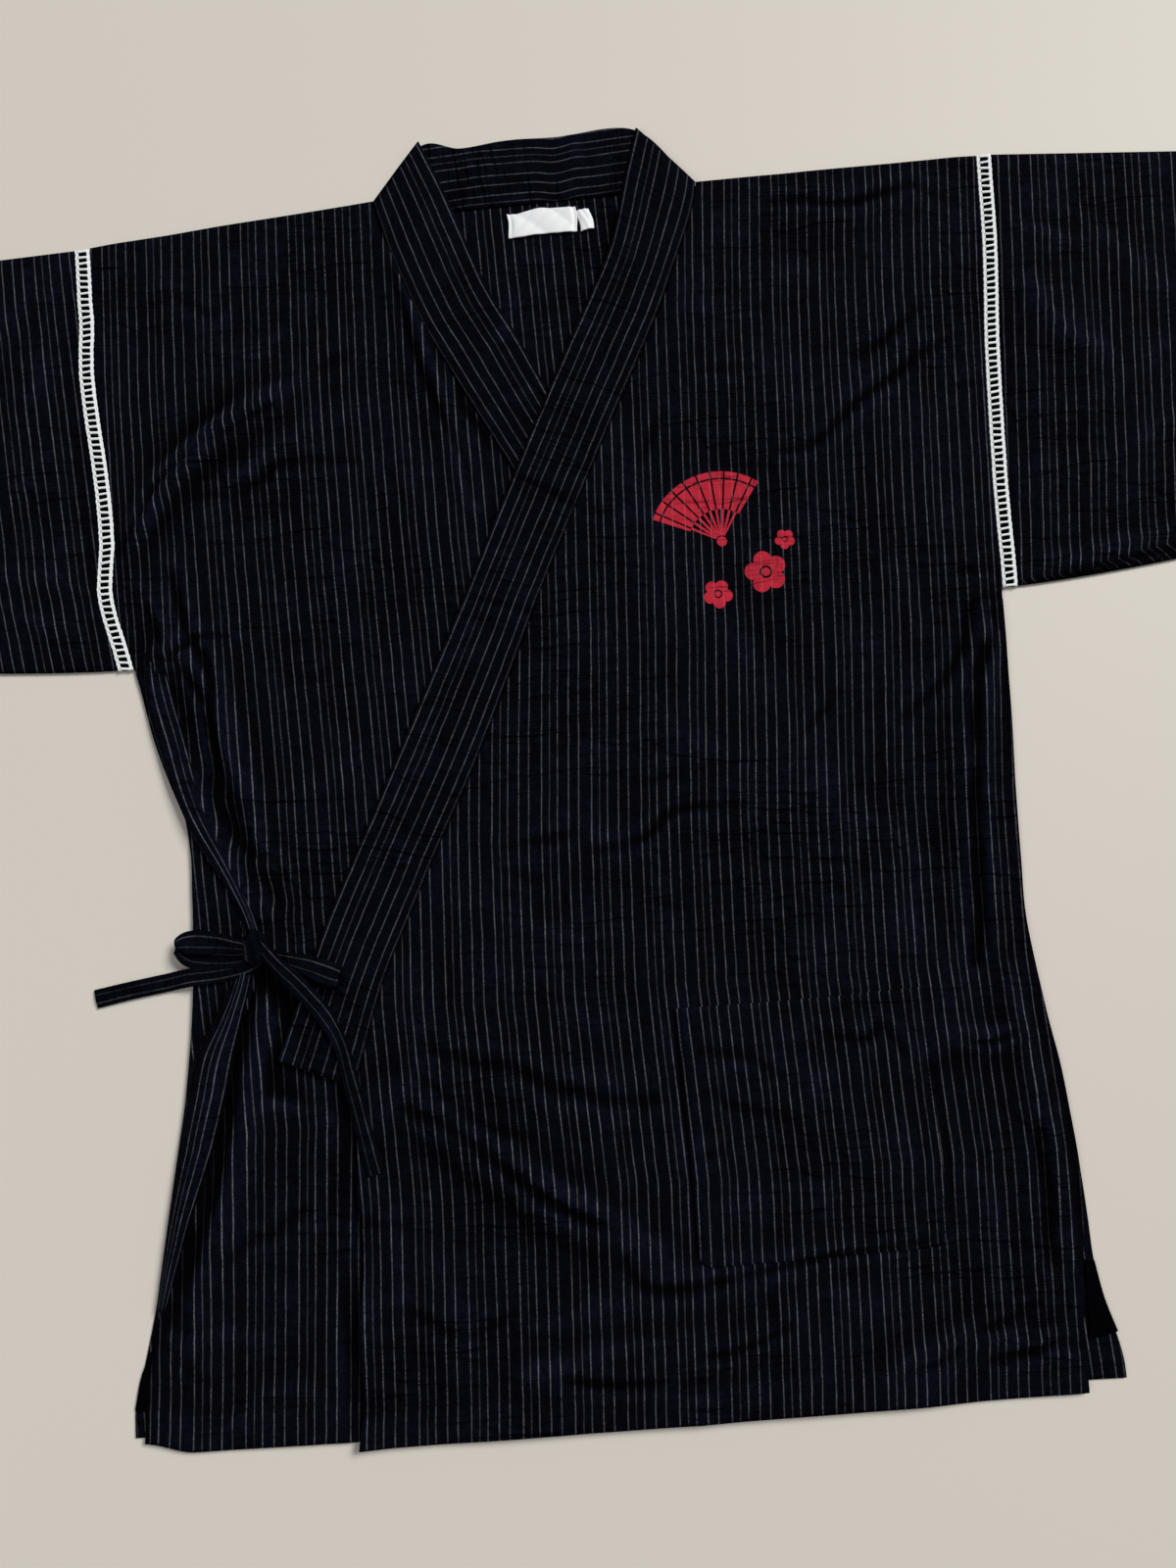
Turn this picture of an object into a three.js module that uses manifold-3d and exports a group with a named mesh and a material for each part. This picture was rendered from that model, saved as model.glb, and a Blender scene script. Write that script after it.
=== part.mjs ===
// A men's jinbei jacket of thin striped cotton, laid flat with its front up.
// Millimetres. +X is to the viewer's right, +Y towards the collar, +Z up off the surface.
import * as THREE from "three";
import { mergeVertices } from "three/addons/utils/BufferGeometryUtils.js";
import Module from "manifold-3d";

const wasm = await Module();
wasm.setup();

// Driving dimensions
const WALL = 1.2; // one layer of cloth
const SEAM = 0.3; // space between two pieces that are sewn or lie together
const BAND_WALL = 2.0; // the neckband is cloth folded double
const TIE_WALL = 1.6;
const TIE_WIDTH = 11;
const STEP = 18; // length of one cell of a panel
const LACE_WIDTH = 9.5;
const LACE_SLOT = { across: 4.3, along: 2.0, pitch: 4.1 };
const CUFF_REACH = 250; // from the armhole to the cuff

// Heights of the underside of each layer
const FIRST_LAYER = WALL + SEAM; // on the back panel
const UNDER_BAND = 2.3;
const OVER_BAND = UNDER_BAND + BAND_WALL + 0.4; // the lapped front, where it crosses the band below
const FOLDED_SIDE = 3.0; // the back's side where it is wrapped over the front

const smooth = THREE.MathUtils.smoothstep;
const mix = THREE.MathUtils.lerp;

// Value at y in a table whose rows run from high y to low y
function rowValue(table, key, y) {
  if (y >= table[0].y) return table[0][key];
  for (let i = 1; i < table.length; i += 1) {
    if (y < table[i].y) continue;
    const share = (y - table[i].y) / (table[i - 1].y - table[i].y);
    return mix(table[i][key], table[i - 1][key], share);
  }
  return table[table.length - 1][key];
}

// Armholes: the middle of the lace, from shoulder to underarm
const armholes = {
  left: [
    { y: 372, x: -293.5 },
    { y: 300, x: -293.0 },
    { y: 245, x: -291.0 },
    { y: 190, x: -286.5 },
    { y: 92, x: -279.0 },
  ],
  right: [
    { y: 386, x: 299.0 },
    { y: 291, x: 293.0 },
    { y: 215, x: 287.0 },
    { y: 165, x: 284.5 },
    { y: 97, x: 281.5 },
  ],
};
const BODY_EDGE = LACE_WIDTH / 2 + SEAM; // from the middle of the lace to the body or the sleeve
const leftArm = (y) => rowValue(armholes.left, "x", y) + BODY_EDGE;
const rightArm = (y) => rowValue(armholes.right, "x", y) - BODY_EDGE;

// Sections of the back, hem to shoulder: the two ends of each level
const backSections = [
  { leftX: -298, leftY: -371, rightX: 293, rightY: -388 },
  { leftX: -297, leftY: -352, rightX: 292, rightY: -362 },
  { leftX: -290, leftY: -328, rightX: 280, rightY: -330 },
  { leftX: -281, leftY: -293, rightX: 283, rightY: -292 },
  { leftX: -272, leftY: -248, rightX: 282, rightY: -262 },
  { leftX: -262, leftY: -200, rightX: 278, rightY: -206 },
  { leftX: -254, leftY: -154, rightX: 272, rightY: -165 },
  { leftX: -250, leftY: -120, rightX: 267, rightY: -128 },
  { leftX: -247, leftY: -70, rightX: 268, rightY: -65 },
  { leftX: -246, leftY: -30, rightX: 270, rightY: -30 },
  { leftX: -251, leftY: 8, rightX: 273, rightY: 14 },
  { leftX: -263, leftY: 44, rightX: 275, rightY: 50 },
  { leftX: -272, leftY: 82, rightX: 276, rightY: 88 },
  { leftX: leftArm(130), leftY: 130, rightX: rightArm(122), rightY: 122 },
  { leftX: leftArm(190), leftY: 190, rightX: rightArm(165), rightY: 165 },
  { leftX: leftArm(245), leftY: 245, rightX: rightArm(215), rightY: 215 },
  { leftX: leftArm(300), leftY: 300, rightX: rightArm(291), rightY: 291 },
  { leftX: leftArm(372), leftY: 373, rightX: rightArm(386), rightY: 386 },
];

// Sections of the front underneath, the wearer's right
const underSections = [
  { leftX: -292, leftY: -374, rightX: 155, rightY: -386 },
  { leftX: -288, leftY: -340, rightX: 156, rightY: -350 },
  { leftX: -280, leftY: -303, rightX: 156, rightY: -300 },
  { leftX: -264, leftY: -250, rightX: 156, rightY: -250 },
  { leftX: -248, leftY: -205, rightX: 155, rightY: -205 },
  { leftX: -228, leftY: -150, rightX: 147, rightY: -160 },
  { leftX: -210, leftY: -112, rightX: 130, rightY: -113 },
  { leftX: -208, leftY: -84, rightX: 114, rightY: -80 },
  { leftX: -222, leftY: -54, rightX: 101, rightY: -52 },
  { leftX: -240, leftY: -22, rightX: 85, rightY: -22 },
  { leftX: -253, leftY: 12, rightX: 67, rightY: 12 },
  { leftX: -264, leftY: 44, rightX: 51, rightY: 44 },
  { leftX: -272, leftY: 82, rightX: 34, rightY: 80 },
  { leftX: leftArm(130), leftY: 130, rightX: 12, rightY: 126 },
  { leftX: leftArm(175), leftY: 175, rightX: -12, rightY: 172 },
  { leftX: leftArm(225), leftY: 225, rightX: -39, rightY: 226 },
  { leftX: leftArm(270), leftY: 270, rightX: -62, rightY: 272 },
  { leftX: leftArm(305), leftY: 305, rightX: -79, rightY: 308 },
  { leftX: leftArm(340), leftY: 340, rightX: -92, rightY: 346 },
  { leftX: leftArm(372), leftY: 373, rightX: -102, rightY: 389 },
];

// Sections of the lapped front, the wearer's left
const upperSections = [
  { leftX: -164, leftY: -388, rightX: 270, rightY: -394 },
  { leftX: -162, leftY: -362, rightX: 271, rightY: -366 },
  { leftX: -158, leftY: -308, rightX: 275, rightY: -325 },
  { leftX: -155, leftY: -259, rightX: 281, rightY: -270 },
  { leftX: -155, leftY: -214, rightX: 277, rightY: -206 },
  { leftX: -153, leftY: -178, rightX: 272, rightY: -165 },
  { leftX: -132, leftY: -117, rightX: 267, rightY: -113 },
  { leftX: -114, leftY: -80, rightX: 268, rightY: -76 },
  { leftX: -90, leftY: -33, rightX: 270, rightY: -33 },
  { leftX: -65, leftY: 14, rightX: 273, rightY: 14 },
  { leftX: -39, leftY: 68, rightX: 275, rightY: 62 },
  { leftX: -14, leftY: 122, rightX: rightArm(112), rightY: 112 },
  { leftX: 12, leftY: 173, rightX: rightArm(165), rightY: 165 },
  { leftX: 39, leftY: 226, rightX: rightArm(218), rightY: 218 },
  { leftX: 58, leftY: 262, rightX: rightArm(262), rightY: 262 },
  { leftX: 75, leftY: 295, rightX: rightArm(298), rightY: 298 },
  { leftX: 89, leftY: 327, rightX: rightArm(330), rightY: 330 },
  { leftX: 104, leftY: 364, rightX: rightArm(362), rightY: 362 },
  { leftX: 109, leftY: 384, rightX: rightArm(386), rightY: 386 },
];

// Sections of the neckband from the fold beside the neck to its end: the edge sewn to the front, the free edge
const upperBandSections = [
  { sewnX: 108, sewnY: 384, freeX: 73, freeY: 424 },
  { sewnX: 103, sewnY: 364, freeX: 64, freeY: 396 },
  { sewnX: 88, sewnY: 327, freeX: 50, freeY: 348 },
  { sewnX: 74, sewnY: 295, freeX: 33, freeY: 312 },
  { sewnX: 57, sewnY: 262, freeX: 16, freeY: 280 },
  { sewnX: 38, sewnY: 226, freeX: -4, freeY: 241 },
  { sewnX: 11, sewnY: 173, freeX: -30, freeY: 189 },
  { sewnX: -15, sewnY: 122, freeX: -57, freeY: 134 },
  { sewnX: -40, sewnY: 68, freeX: -84, freeY: 80 },
  { sewnX: -66, sewnY: 14, freeX: -111, freeY: 27 },
  { sewnX: -91, sewnY: -33, freeX: -136, freeY: -22 },
  { sewnX: -115, sewnY: -80, freeX: -160, freeY: -68 },
  { sewnX: -133, sewnY: -117, freeX: -177, freeY: -106 },
  { sewnX: -154, sewnY: -176, freeX: -199, freeY: -157 },
];
const NECK_SECTIONS = 6; // the two bands run alike from here down, as mirror images
const underBandSections = [
  { sewnX: -102, sewnY: 389, freeX: -70, freeY: 427 },
  { sewnX: -97, sewnY: 368, freeX: -58, freeY: 397 },
  { sewnX: -91, sewnY: 346, freeX: -48, freeY: 368 },
  { sewnX: -78, sewnY: 308, freeX: -32, freeY: 322 },
  { sewnX: -61, sewnY: 272, freeX: -14, freeY: 285 },
  { sewnX: -38, sewnY: 226, freeX: 4, freeY: 243 },
  ...upperBandSections.slice(NECK_SECTIONS).map((row) => ({
    sewnX: -row.sewnX,
    sewnY: row.sewnY,
    freeX: -row.freeX,
    freeY: row.freeY,
  })),
];

// The back's side that the tie pulls over the front: the outline, the edge on top and how high it bulges
const wrapSections = [
  { y: 10, outline: -251.5, edge: -247, bulge: 0 },
  { y: -8, outline: -247, edge: -238, bulge: 0 },
  { y: -30, outline: -246, edge: -229, bulge: 0 },
  { y: -50, outline: -246.6, edge: -219, bulge: 0 },
  { y: -66, outline: -247, edge: -220.5, bulge: 0 },
  { y: -85, outline: -248, edge: -215, bulge: 0 },
  { y: -110, outline: -249.4, edge: -215, bulge: 0.5 },
  { y: -135, outline: -251.8, edge: -219, bulge: 3.5 },
  { y: -160, outline: -255, edge: -227, bulge: 6 },
  { y: -200, outline: -262, edge: -242, bulge: 6.5 },
  { y: -250, outline: -272.4, edge: -259, bulge: 5 },
  { y: -298, outline: -282, edge: -275, bulge: 2.5 },
];

// Folds of the front underneath, as soft ridges between two points; half is the half width
const underFolds = [
  { x1: -258, y1: 70, x2: -246, y2: 30, height: 6, half: 18 },
  { x1: -246, y1: 30, x2: -232, y2: -10, height: 6.5, half: 15 },
  { x1: -232, y1: -10, x2: -216, y2: -50, height: 5, half: 12 },
  { x1: -216, y1: -50, x2: -212, y2: -60, height: 2, half: 9 },
  { x1: -262, y1: 112, x2: -236, y2: 90, height: 3, half: 14 },
  { x1: -205, y1: 251, x2: -246, y2: 205, height: 4, half: 16 },
  { x1: -150, y1: 277, x2: -225, y2: 236, height: 3, half: 15 },
  { x1: -94, y1: 335, x2: -76, y2: 270, height: 3, half: 16 },
  { x1: -205, y1: 60, x2: -206, y2: -20, height: 2.5, half: 16 },
  { x1: -196, y1: -140, x2: -200, y2: -240, height: 3, half: 18 },
];

// Folds of the lapped front
const upperFolds = [
  { x1: -108, y1: -193, x2: -41, y2: -247, height: 3, half: 18 },
  { x1: -41, y1: -247, x2: 23, y2: -288, height: 3, half: 18 },
  { x1: 256, y1: 62, x2: 246, y2: 10, height: 3.5, half: 15 },
  { x1: 246, y1: 10, x2: 236, y2: -62, height: 3, half: 15 },
  { x1: 250, y1: -140, x2: 262, y2: -230, height: 3, half: 15 },
  { x1: 262, y1: -230, x2: 262, y2: -320, height: 3, half: 13 },
  { x1: -63, y1: -352, x2: 52, y2: -342, height: 2.5, half: 16 },
  { x1: 155, y1: -371, x2: 199, y2: -358, height: 2, half: 14 },
  { x1: 199, y1: -358, x2: 250, y2: -364, height: 2, half: 14 },
  { x1: 205, y1: -176, x2: 240, y2: -178, height: 2, half: 13 },
  { x1: 140, y1: 306, x2: 190, y2: 314, height: 2, half: 15 },
];

// Folds of the sleeves, both on the front layer
const sleeveFolds = [
  { x1: 330, y1: 130, x2: 520, y2: 165, height: 3, half: 18 },
  { x1: 340, y1: 350, x2: 440, y2: 240, height: 2.5, half: 22 },
  { x1: -340, y1: 140, x2: -520, y2: 180, height: 3, half: 20 },
  { x1: -345, y1: 330, x2: -450, y2: 230, height: 2.5, half: 22 },
];

// Height that a table of folds adds at one place
function foldHeight(folds, x, y) {
  let height = 0;
  for (const fold of folds) {
    const alongX = fold.x2 - fold.x1;
    const alongY = fold.y2 - fold.y1;
    const reach = alongX * alongX + alongY * alongY;
    const share = ((x - fold.x1) * alongX + (y - fold.y1) * alongY) / reach;
    const part = THREE.MathUtils.clamp(share, 0, 1);
    const away = Math.hypot(x - fold.x1 - part * alongX, y - fold.y1 - part * alongY);
    const bump = 0.5 + 0.5 * Math.cos((Math.PI * Math.min(away, fold.half)) / fold.half);
    height = Math.max(height, fold.height * bump);
  }
  return height;
}

// A closed solid from a grid of upper points and the same grid of lower points
function solidFromGrids(upper, lower) {
  const rows = upper.length;
  const columns = upper[0].length;
  const positions = [];
  const faces = [];
  for (const grid of [upper, lower]) {
    for (const row of grid) for (const point of row) positions.push(...point.toArray());
  }
  const top = (i, j) => i * columns + j;
  const bottom = (i, j) => rows * columns + i * columns + j;
  const quad = (a, b, c, d) => faces.push(a, b, c, a, c, d);
  for (let i = 0; i + 1 < rows; i += 1) {
    for (let j = 0; j + 1 < columns; j += 1) {
      quad(top(i, j), top(i, j + 1), top(i + 1, j + 1), top(i + 1, j));
      quad(bottom(i, j), bottom(i + 1, j), bottom(i + 1, j + 1), bottom(i, j + 1));
    }
    const end = columns - 1;
    quad(top(i, 0), top(i + 1, 0), bottom(i + 1, 0), bottom(i, 0));
    quad(top(i, end), bottom(i, end), bottom(i + 1, end), top(i + 1, end));
  }
  for (let j = 0; j + 1 < columns; j += 1) {
    const end = rows - 1;
    quad(top(0, j), bottom(0, j), bottom(0, j + 1), top(0, j + 1));
    quad(top(end, j), top(end, j + 1), bottom(end, j + 1), bottom(end, j));
  }
  return solidFromFaces(positions, faces);
}

// A solid with its faces turned outwards, whichever way its grid ran
function solidFromFaces(positions, faces) {
  const make = (triangles) =>
    new wasm.Manifold(
      new wasm.Mesh({
        numProp: 3,
        vertProperties: new Float32Array(positions),
        triVerts: new Uint32Array(triangles),
      }),
    );
  const solid = make(faces);
  if (solid.volume() > 0) return solid;
  const turned = [];
  for (let i = 0; i < faces.length; i += 3) turned.push(faces[i], faces[i + 2], faces[i + 1]);
  return make(turned);
}

// A three.js geometry as a solid for cutting and joining
function solidFromGeometry(geometry) {
  const bare = geometry.clone();
  bare.deleteAttribute("normal");
  bare.deleteAttribute("uv");
  const merged = mergeVertices(bare, 1e-4);
  return solidFromFaces(merged.attributes.position.array, merged.index.array);
}

function namedMesh(name, solid, material) {
  const data = solid.getMesh();
  const geometry = new THREE.BufferGeometry();
  geometry.setAttribute("position", new THREE.BufferAttribute(data.vertProperties, 3));
  geometry.setIndex(new THREE.BufferAttribute(data.triVerts, 1));
  geometry.computeVertexNormals();
  const mesh = new THREE.Mesh(geometry, material);
  mesh.name = name;
  return mesh;
}

// Levels of a panel between its sections, with both side outlines run through as smooth curves
function panelLevels(sections, step) {
  const side = (x, y) =>
    new THREE.CatmullRomCurve3(sections.map((row) => new THREE.Vector3(row[x], row[y], 0)));
  const left = side("leftX", "leftY");
  const right = side("rightX", "rightY");
  const gaps = sections.length - 1;
  const levels = [];
  for (let k = 0; k < gaps; k += 1) {
    const height = sections[k + 1].leftY - sections[k].leftY;
    const parts = Math.max(1, Math.round(height / step));
    for (let s = 0; s < parts; s += 1) levels.push((k + s / parts) / gaps);
  }
  levels.push(1);
  return levels.map((t) => [left.getPoint(t), right.getPoint(t)]);
}

// A panel of cloth: its underside follows heightAt
function panel(sections, columns, step, heightAt) {
  const lower = panelLevels(sections, step).map(([left, right]) => {
    const row = [];
    for (let j = 0; j <= columns; j += 1) {
      const point = left.clone().lerp(right, j / columns);
      point.z = heightAt(point.x, point.y);
      row.push(point);
    }
    return row;
  });
  const upper = lower.map((row) => row.map((point) => point.clone().setZ(point.z + WALL)));
  return solidFromGrids(upper, lower);
}

// Place of the edge of the lower lap: under its free edge the lapped front drops to the back panel
const underEdge = [
  ...underBandSections.map((row) => ({ y: row.freeY, x: row.freeX })),
  { y: -176, x: 200 },
  { y: -196, x: 160 },
  { y: -400, x: 160 },
];
const upperEdge = [
  ...upperBandSections.map((row) => ({ y: row.freeY, x: row.freeX })),
  { y: -177, x: -199 },
  { y: -192, x: -162 },
  { y: -400, x: -166 },
];
const LAP_CLEAR = 8; // the lapped front keeps its height so far past the edge below
const LAP_DROP = 52; // and has come down so far past it
const COVER_FADE = 26; // folds of the lower front end so far from the edge that lies on them

function upperHeight(x, y) {
  const past = x - rowValue(underEdge, "x", y);
  const base = mix(OVER_BAND, FIRST_LAYER, smooth(past, LAP_CLEAR, LAP_DROP));
  const arm = smooth(rightArm(y) - x, 0, 18);
  return base + (y > 90 ? arm : 1) * foldHeight(upperFolds, x, y);
}

// Along the rope of cloth above the knot the front's edge lies on the wrapped side of the back
const ropeLift = [
  { y: 40, lift: 0 },
  { y: 14, lift: 3.4 },
  { y: -62, lift: 3.4 },
  { y: -76, lift: 0 },
];
const ROPE_EDGE = 11; // how far in from the edge the lift reaches
const frontEdge = underSections.map((row) => ({ y: row.leftY, x: row.leftX })).reverse();

function underHeight(x, y) {
  const covered = smooth(rowValue(upperEdge, "x", y) - x, 2, COVER_FADE);
  const inside = x - rowValue(frontEdge, "x", y);
  const lift = rowValue(ropeLift, "lift", y) * (1 - smooth(inside, ROPE_EDGE, ROPE_EDGE * 2.4));
  const arm = y > 88 ? smooth(x - leftArm(y), 0, 18) : 1;
  const folds = foldHeight(underFolds, x, y) * arm * smooth(inside, -4, 14);
  return FIRST_LAYER + Math.max(lift, 0) + covered * folds * (lift > 0 ? 0.8 : 1);
}

// The wrapped side of the back: a hook of cloth from the back panel round the outline and over
function wrappedSide() {
  const half = WALL / 2;
  const across = 5;
  const sections = [];
  for (let k = 0; k + 1 < wrapSections.length; k += 1) {
    const parts = Math.round((wrapSections[k].y - wrapSections[k + 1].y) / STEP);
    for (let s = 0; s < parts; s += 1) {
      sections.push(mix(wrapSections[k].y, wrapSections[k + 1].y, s / parts));
    }
  }
  sections.push(wrapSections[wrapSections.length - 1].y);
  const upper = [];
  const lower = [];
  for (const y of sections) {
    const outline = rowValue(wrapSections, "outline", y);
    const edge = rowValue(wrapSections, "edge", y);
    const bulge = rowValue(wrapSections, "bulge", y);
    const level = FOLDED_SIDE + half;
    const path = [
      [outline + 5, half],
      [outline + 2.2, half],
      [outline + 0.8, half + 0.9],
      [outline + 0.8, level - 0.8],
    ];
    for (let j = 0; j <= across; j += 1) {
      const share = j / across;
      path.push([mix(outline + 2.6, edge, share), level + bulge * Math.sin(Math.PI * share)]);
    }
    const outerRow = [];
    const innerRow = [];
    path.forEach(([x, z], j) => {
      const before = path[Math.max(0, j - 1)];
      const after = path[Math.min(path.length - 1, j + 1)];
      const run = Math.hypot(after[0] - before[0], after[1] - before[1]);
      const nx = ((after[1] - before[1]) / run) * half;
      const nz = (-(after[0] - before[0]) / run) * half;
      outerRow.push(new THREE.Vector3(x - nx, y, z - nz));
      innerRow.push(new THREE.Vector3(x + nx, y, z + nz));
    });
    upper.push(outerRow);
    lower.push(innerRow);
  }
  return solidFromGrids(lower, upper);
}

// One stretch of the doubled neckband; restAt gives the height of its underside
function band(sections, restAt) {
  const across = 2;
  const curve = (x, y) =>
    new THREE.CatmullRomCurve3(sections.map((row) => new THREE.Vector3(row[x], row[y], 0)));
  const sewn = curve("sewnX", "sewnY");
  const free = curve("freeX", "freeY");
  const steps = (sections.length - 1) * 2;
  const lower = [];
  for (let i = 0; i <= steps; i += 1) {
    const outer = sewn.getPoint(i / steps);
    const inner = free.getPoint(i / steps);
    const row = [];
    for (let j = 0; j <= across; j += 1) {
      const point = outer.clone().lerp(inner, j / across);
      point.z = restAt(point.x, point.y);
      row.push(point);
    }
    lower.push(row);
  }
  const upper = lower.map((row) => row.map((point) => point.clone().setZ(point.z + BAND_WALL)));
  return solidFromGrids(upper, lower);
}

// The band behind the neck lies flat beyond the back panel, between the two folds
const neckTop = [
  { x: -98, seam: 378.6, top: 392 },
  { x: -69, seam: 379, top: 425 },
  { x: -43, seam: 379.6, top: 421 },
  { x: -13, seam: 380.2, top: 424 },
  { x: 20, seam: 381, top: 423.5 },
  { x: 72, seam: 382.1, top: 424 },
  { x: 107, seam: 382.9, top: 385.5 },
];
function backBand() {
  const rows = 3;
  const lower = [];
  for (let i = 0; i <= rows; i += 1) {
    const place = (row) => new THREE.Vector3(row.x, mix(row.seam, row.top, i / rows), 0);
    lower.push(neckTop.map(place));
  }
  const upper = lower.map((row) => row.map((point) => point.clone().setZ(BAND_WALL)));
  return solidFromGrids(upper, lower);
}

// A sleeve is one flattened tube: folded at the top, sewn below, open at armhole and cuff
const sleeves = {
  left: {
    arm: (y) => rowValue(armholes.left, "x", y) - BODY_EDGE,
    topAtArm: 372,
    lowAtArm: 92.5,
    side: -1,
    topDrop: 11,
    lowRise: 26,
    cuffLean: 9,
  },
  right: {
    arm: (y) => rowValue(armholes.right, "x", y) + BODY_EDGE,
    topAtArm: 386,
    lowAtArm: 97.5,
    side: 1,
    topDrop: 17,
    lowRise: 30,
    cuffLean: 16,
  },
};
const SLEEVE_LOFT = 2.2;

function sleeve(cut) {
  const rings = 11;
  const around = 12;
  const outer = [];
  const inner = [];
  for (let i = 0; i <= rings; i += 1) {
    const out = i / rings;
    const topY = cut.topAtArm - cut.topDrop * out;
    const lowY = cut.lowAtArm + cut.lowRise * out ** 1.4;
    const place = (along, z) => {
      const y = lowY + along;
      const share = along / (topY - lowY);
      const armX = cut.arm(mix(cut.lowAtArm, cut.topAtArm, share));
      const cuffX = cut.arm(cut.topAtArm) + cut.side * (CUFF_REACH - cut.cuffLean * (1 - share));
      return new THREE.Vector3(mix(armX, cuffX, out), y, z);
    };
    const length = topY - lowY;
    const topAt = (along) => {
      const point = place(along, 0);
      const share = along / length;
      const loft = SLEEVE_LOFT * Math.sin(Math.PI * share) + foldHeight(sleeveFolds, point.x, point.y);
      const edge = smooth(along, 0, 20) * smooth(length - along, 0, 20) * smooth(out, 0, 0.12);
      return FIRST_LAYER + WALL + loft * edge;
    };
    const ring = (inset, wall) => {
      const points = [];
      for (let j = 0; j <= around; j += 1) {
        const along = mix(inset + 0.7, length - inset - 0.7, j / around);
        points.push(place(along, wall));
      }
      points.push(place(length - inset, topAt(length) / 2));
      for (let j = around; j >= 0; j -= 1) {
        const along = mix(inset + 0.7, length - inset - 0.7, j / around);
        points.push(place(along, topAt(along) - wall));
      }
      points.push(place(inset, topAt(0) / 2));
      return points;
    };
    outer.push(ring(0, 0));
    inner.push(ring(WALL, WALL));
  }
  return tubeShell(outer, inner);
}

// A wall between two nets of rings, open at both ends
function tubeShell(outer, inner) {
  const around = outer[0].length;
  const last = outer.length - 1;
  const positions = [];
  const faces = [];
  for (const net of [outer, inner]) {
    for (const ring of net) for (const point of ring) positions.push(...point.toArray());
  }
  const at = (net, i, j) => (net * outer.length + i) * around + (j % around);
  const quad = (a, b, c, d) => faces.push(a, b, c, a, c, d);
  for (let j = 0; j < around; j += 1) {
    for (let i = 0; i < last; i += 1) {
      quad(at(0, i, j), at(0, i, j + 1), at(0, i + 1, j + 1), at(0, i + 1, j));
      quad(at(1, i, j), at(1, i + 1, j), at(1, i + 1, j + 1), at(1, i, j + 1));
    }
    quad(at(0, 0, j), at(1, 0, j), at(1, 0, j + 1), at(0, 0, j + 1));
    quad(at(0, last, j), at(0, last, j + 1), at(1, last, j + 1), at(1, last, j));
  }
  return solidFromFaces(positions, faces);
}

// The ladder lace of an armhole; the front layer has its slots cut through
function lace(table, slotted, height) {
  const half = LACE_WIDTH / 2;
  const from = table[table.length - 1].y;
  const to = table[0].y;
  const outline = [
    ...table.map((row) => new THREE.Vector2(row.x - half, row.y)),
    ...[...table].reverse().map((row) => new THREE.Vector2(row.x + half, row.y)),
  ];
  const shape = new THREE.Shape(outline);
  const strip = new THREE.ExtrudeGeometry(shape, { depth: WALL, bevelEnabled: false });
  strip.translate(0, 0, height);
  let solid = solidFromGeometry(strip);
  if (!slotted) return solid;
  const count = Math.floor((to - from - LACE_SLOT.pitch) / LACE_SLOT.pitch);
  const start = (from + to - (count - 1) * LACE_SLOT.pitch) / 2;
  for (let k = 0; k < count; k += 1) {
    const y = start + k * LACE_SLOT.pitch;
    const slot = new THREE.BoxGeometry(LACE_SLOT.across, LACE_SLOT.along, 3 * WALL);
    slot.translate(rowValue(table, "x", y), y, height);
    solid = solid.subtract(solidFromGeometry(slot));
  }
  return solid;
}

// The patch pocket is the lapped front's own surface moved out and cut to the pocket's outline
const POCKET = { left: 45, right: 197, bottom: -301, top: -147, corner: 14 };
function pocket(front) {
  const { left, right, bottom, top, corner } = POCKET;
  const shape = new THREE.Shape();
  shape.moveTo(left, top);
  shape.lineTo(left, bottom + corner);
  shape.absarc(left + corner, bottom + corner, corner, Math.PI, 1.5 * Math.PI, false);
  shape.absarc(right - corner, bottom + corner, corner, 1.5 * Math.PI, 2 * Math.PI, false);
  shape.lineTo(right, top);
  const depth = 40;
  const geometry = new THREE.ExtrudeGeometry(shape, { depth, bevelEnabled: false, curveSegments: 4 });
  return front.translate([0, 0, WALL + SEAM]).intersect(solidFromGeometry(geometry));
}

// A strip of a tie: a doubled tape along a path of points, with its width level
function ribbon(path, width) {
  const curve = new THREE.CatmullRomCurve3(path.map((point) => new THREE.Vector3(...point)));
  const steps = (path.length - 1) * 3;
  const upper = [];
  const lower = [];
  for (let i = 0; i <= steps; i += 1) {
    const centre = curve.getPoint(i / steps);
    const along = curve.getTangent(i / steps);
    const level = new THREE.Vector3(path.at(-1)[0] - path[0][0], path.at(-1)[1] - path[0][1], 0);
    const flat = Math.hypot(along.x, along.y) > 0.5 ? along.clone().setZ(0) : level;
    const side = new THREE.Vector3(-flat.y, flat.x, 0).normalize();
    const up = along.clone().cross(side).multiplyScalar(TIE_WALL / 2);
    const edges = [-width / 2, 0, width / 2].map((s) => centre.clone().addScaledVector(side, s));
    upper.push(edges.map((point) => point.clone().add(up)).reverse());
    lower.push(edges.map((point) => point.clone().sub(up)).reverse());
  }
  return solidFromGrids(upper, lower);
}

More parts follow.
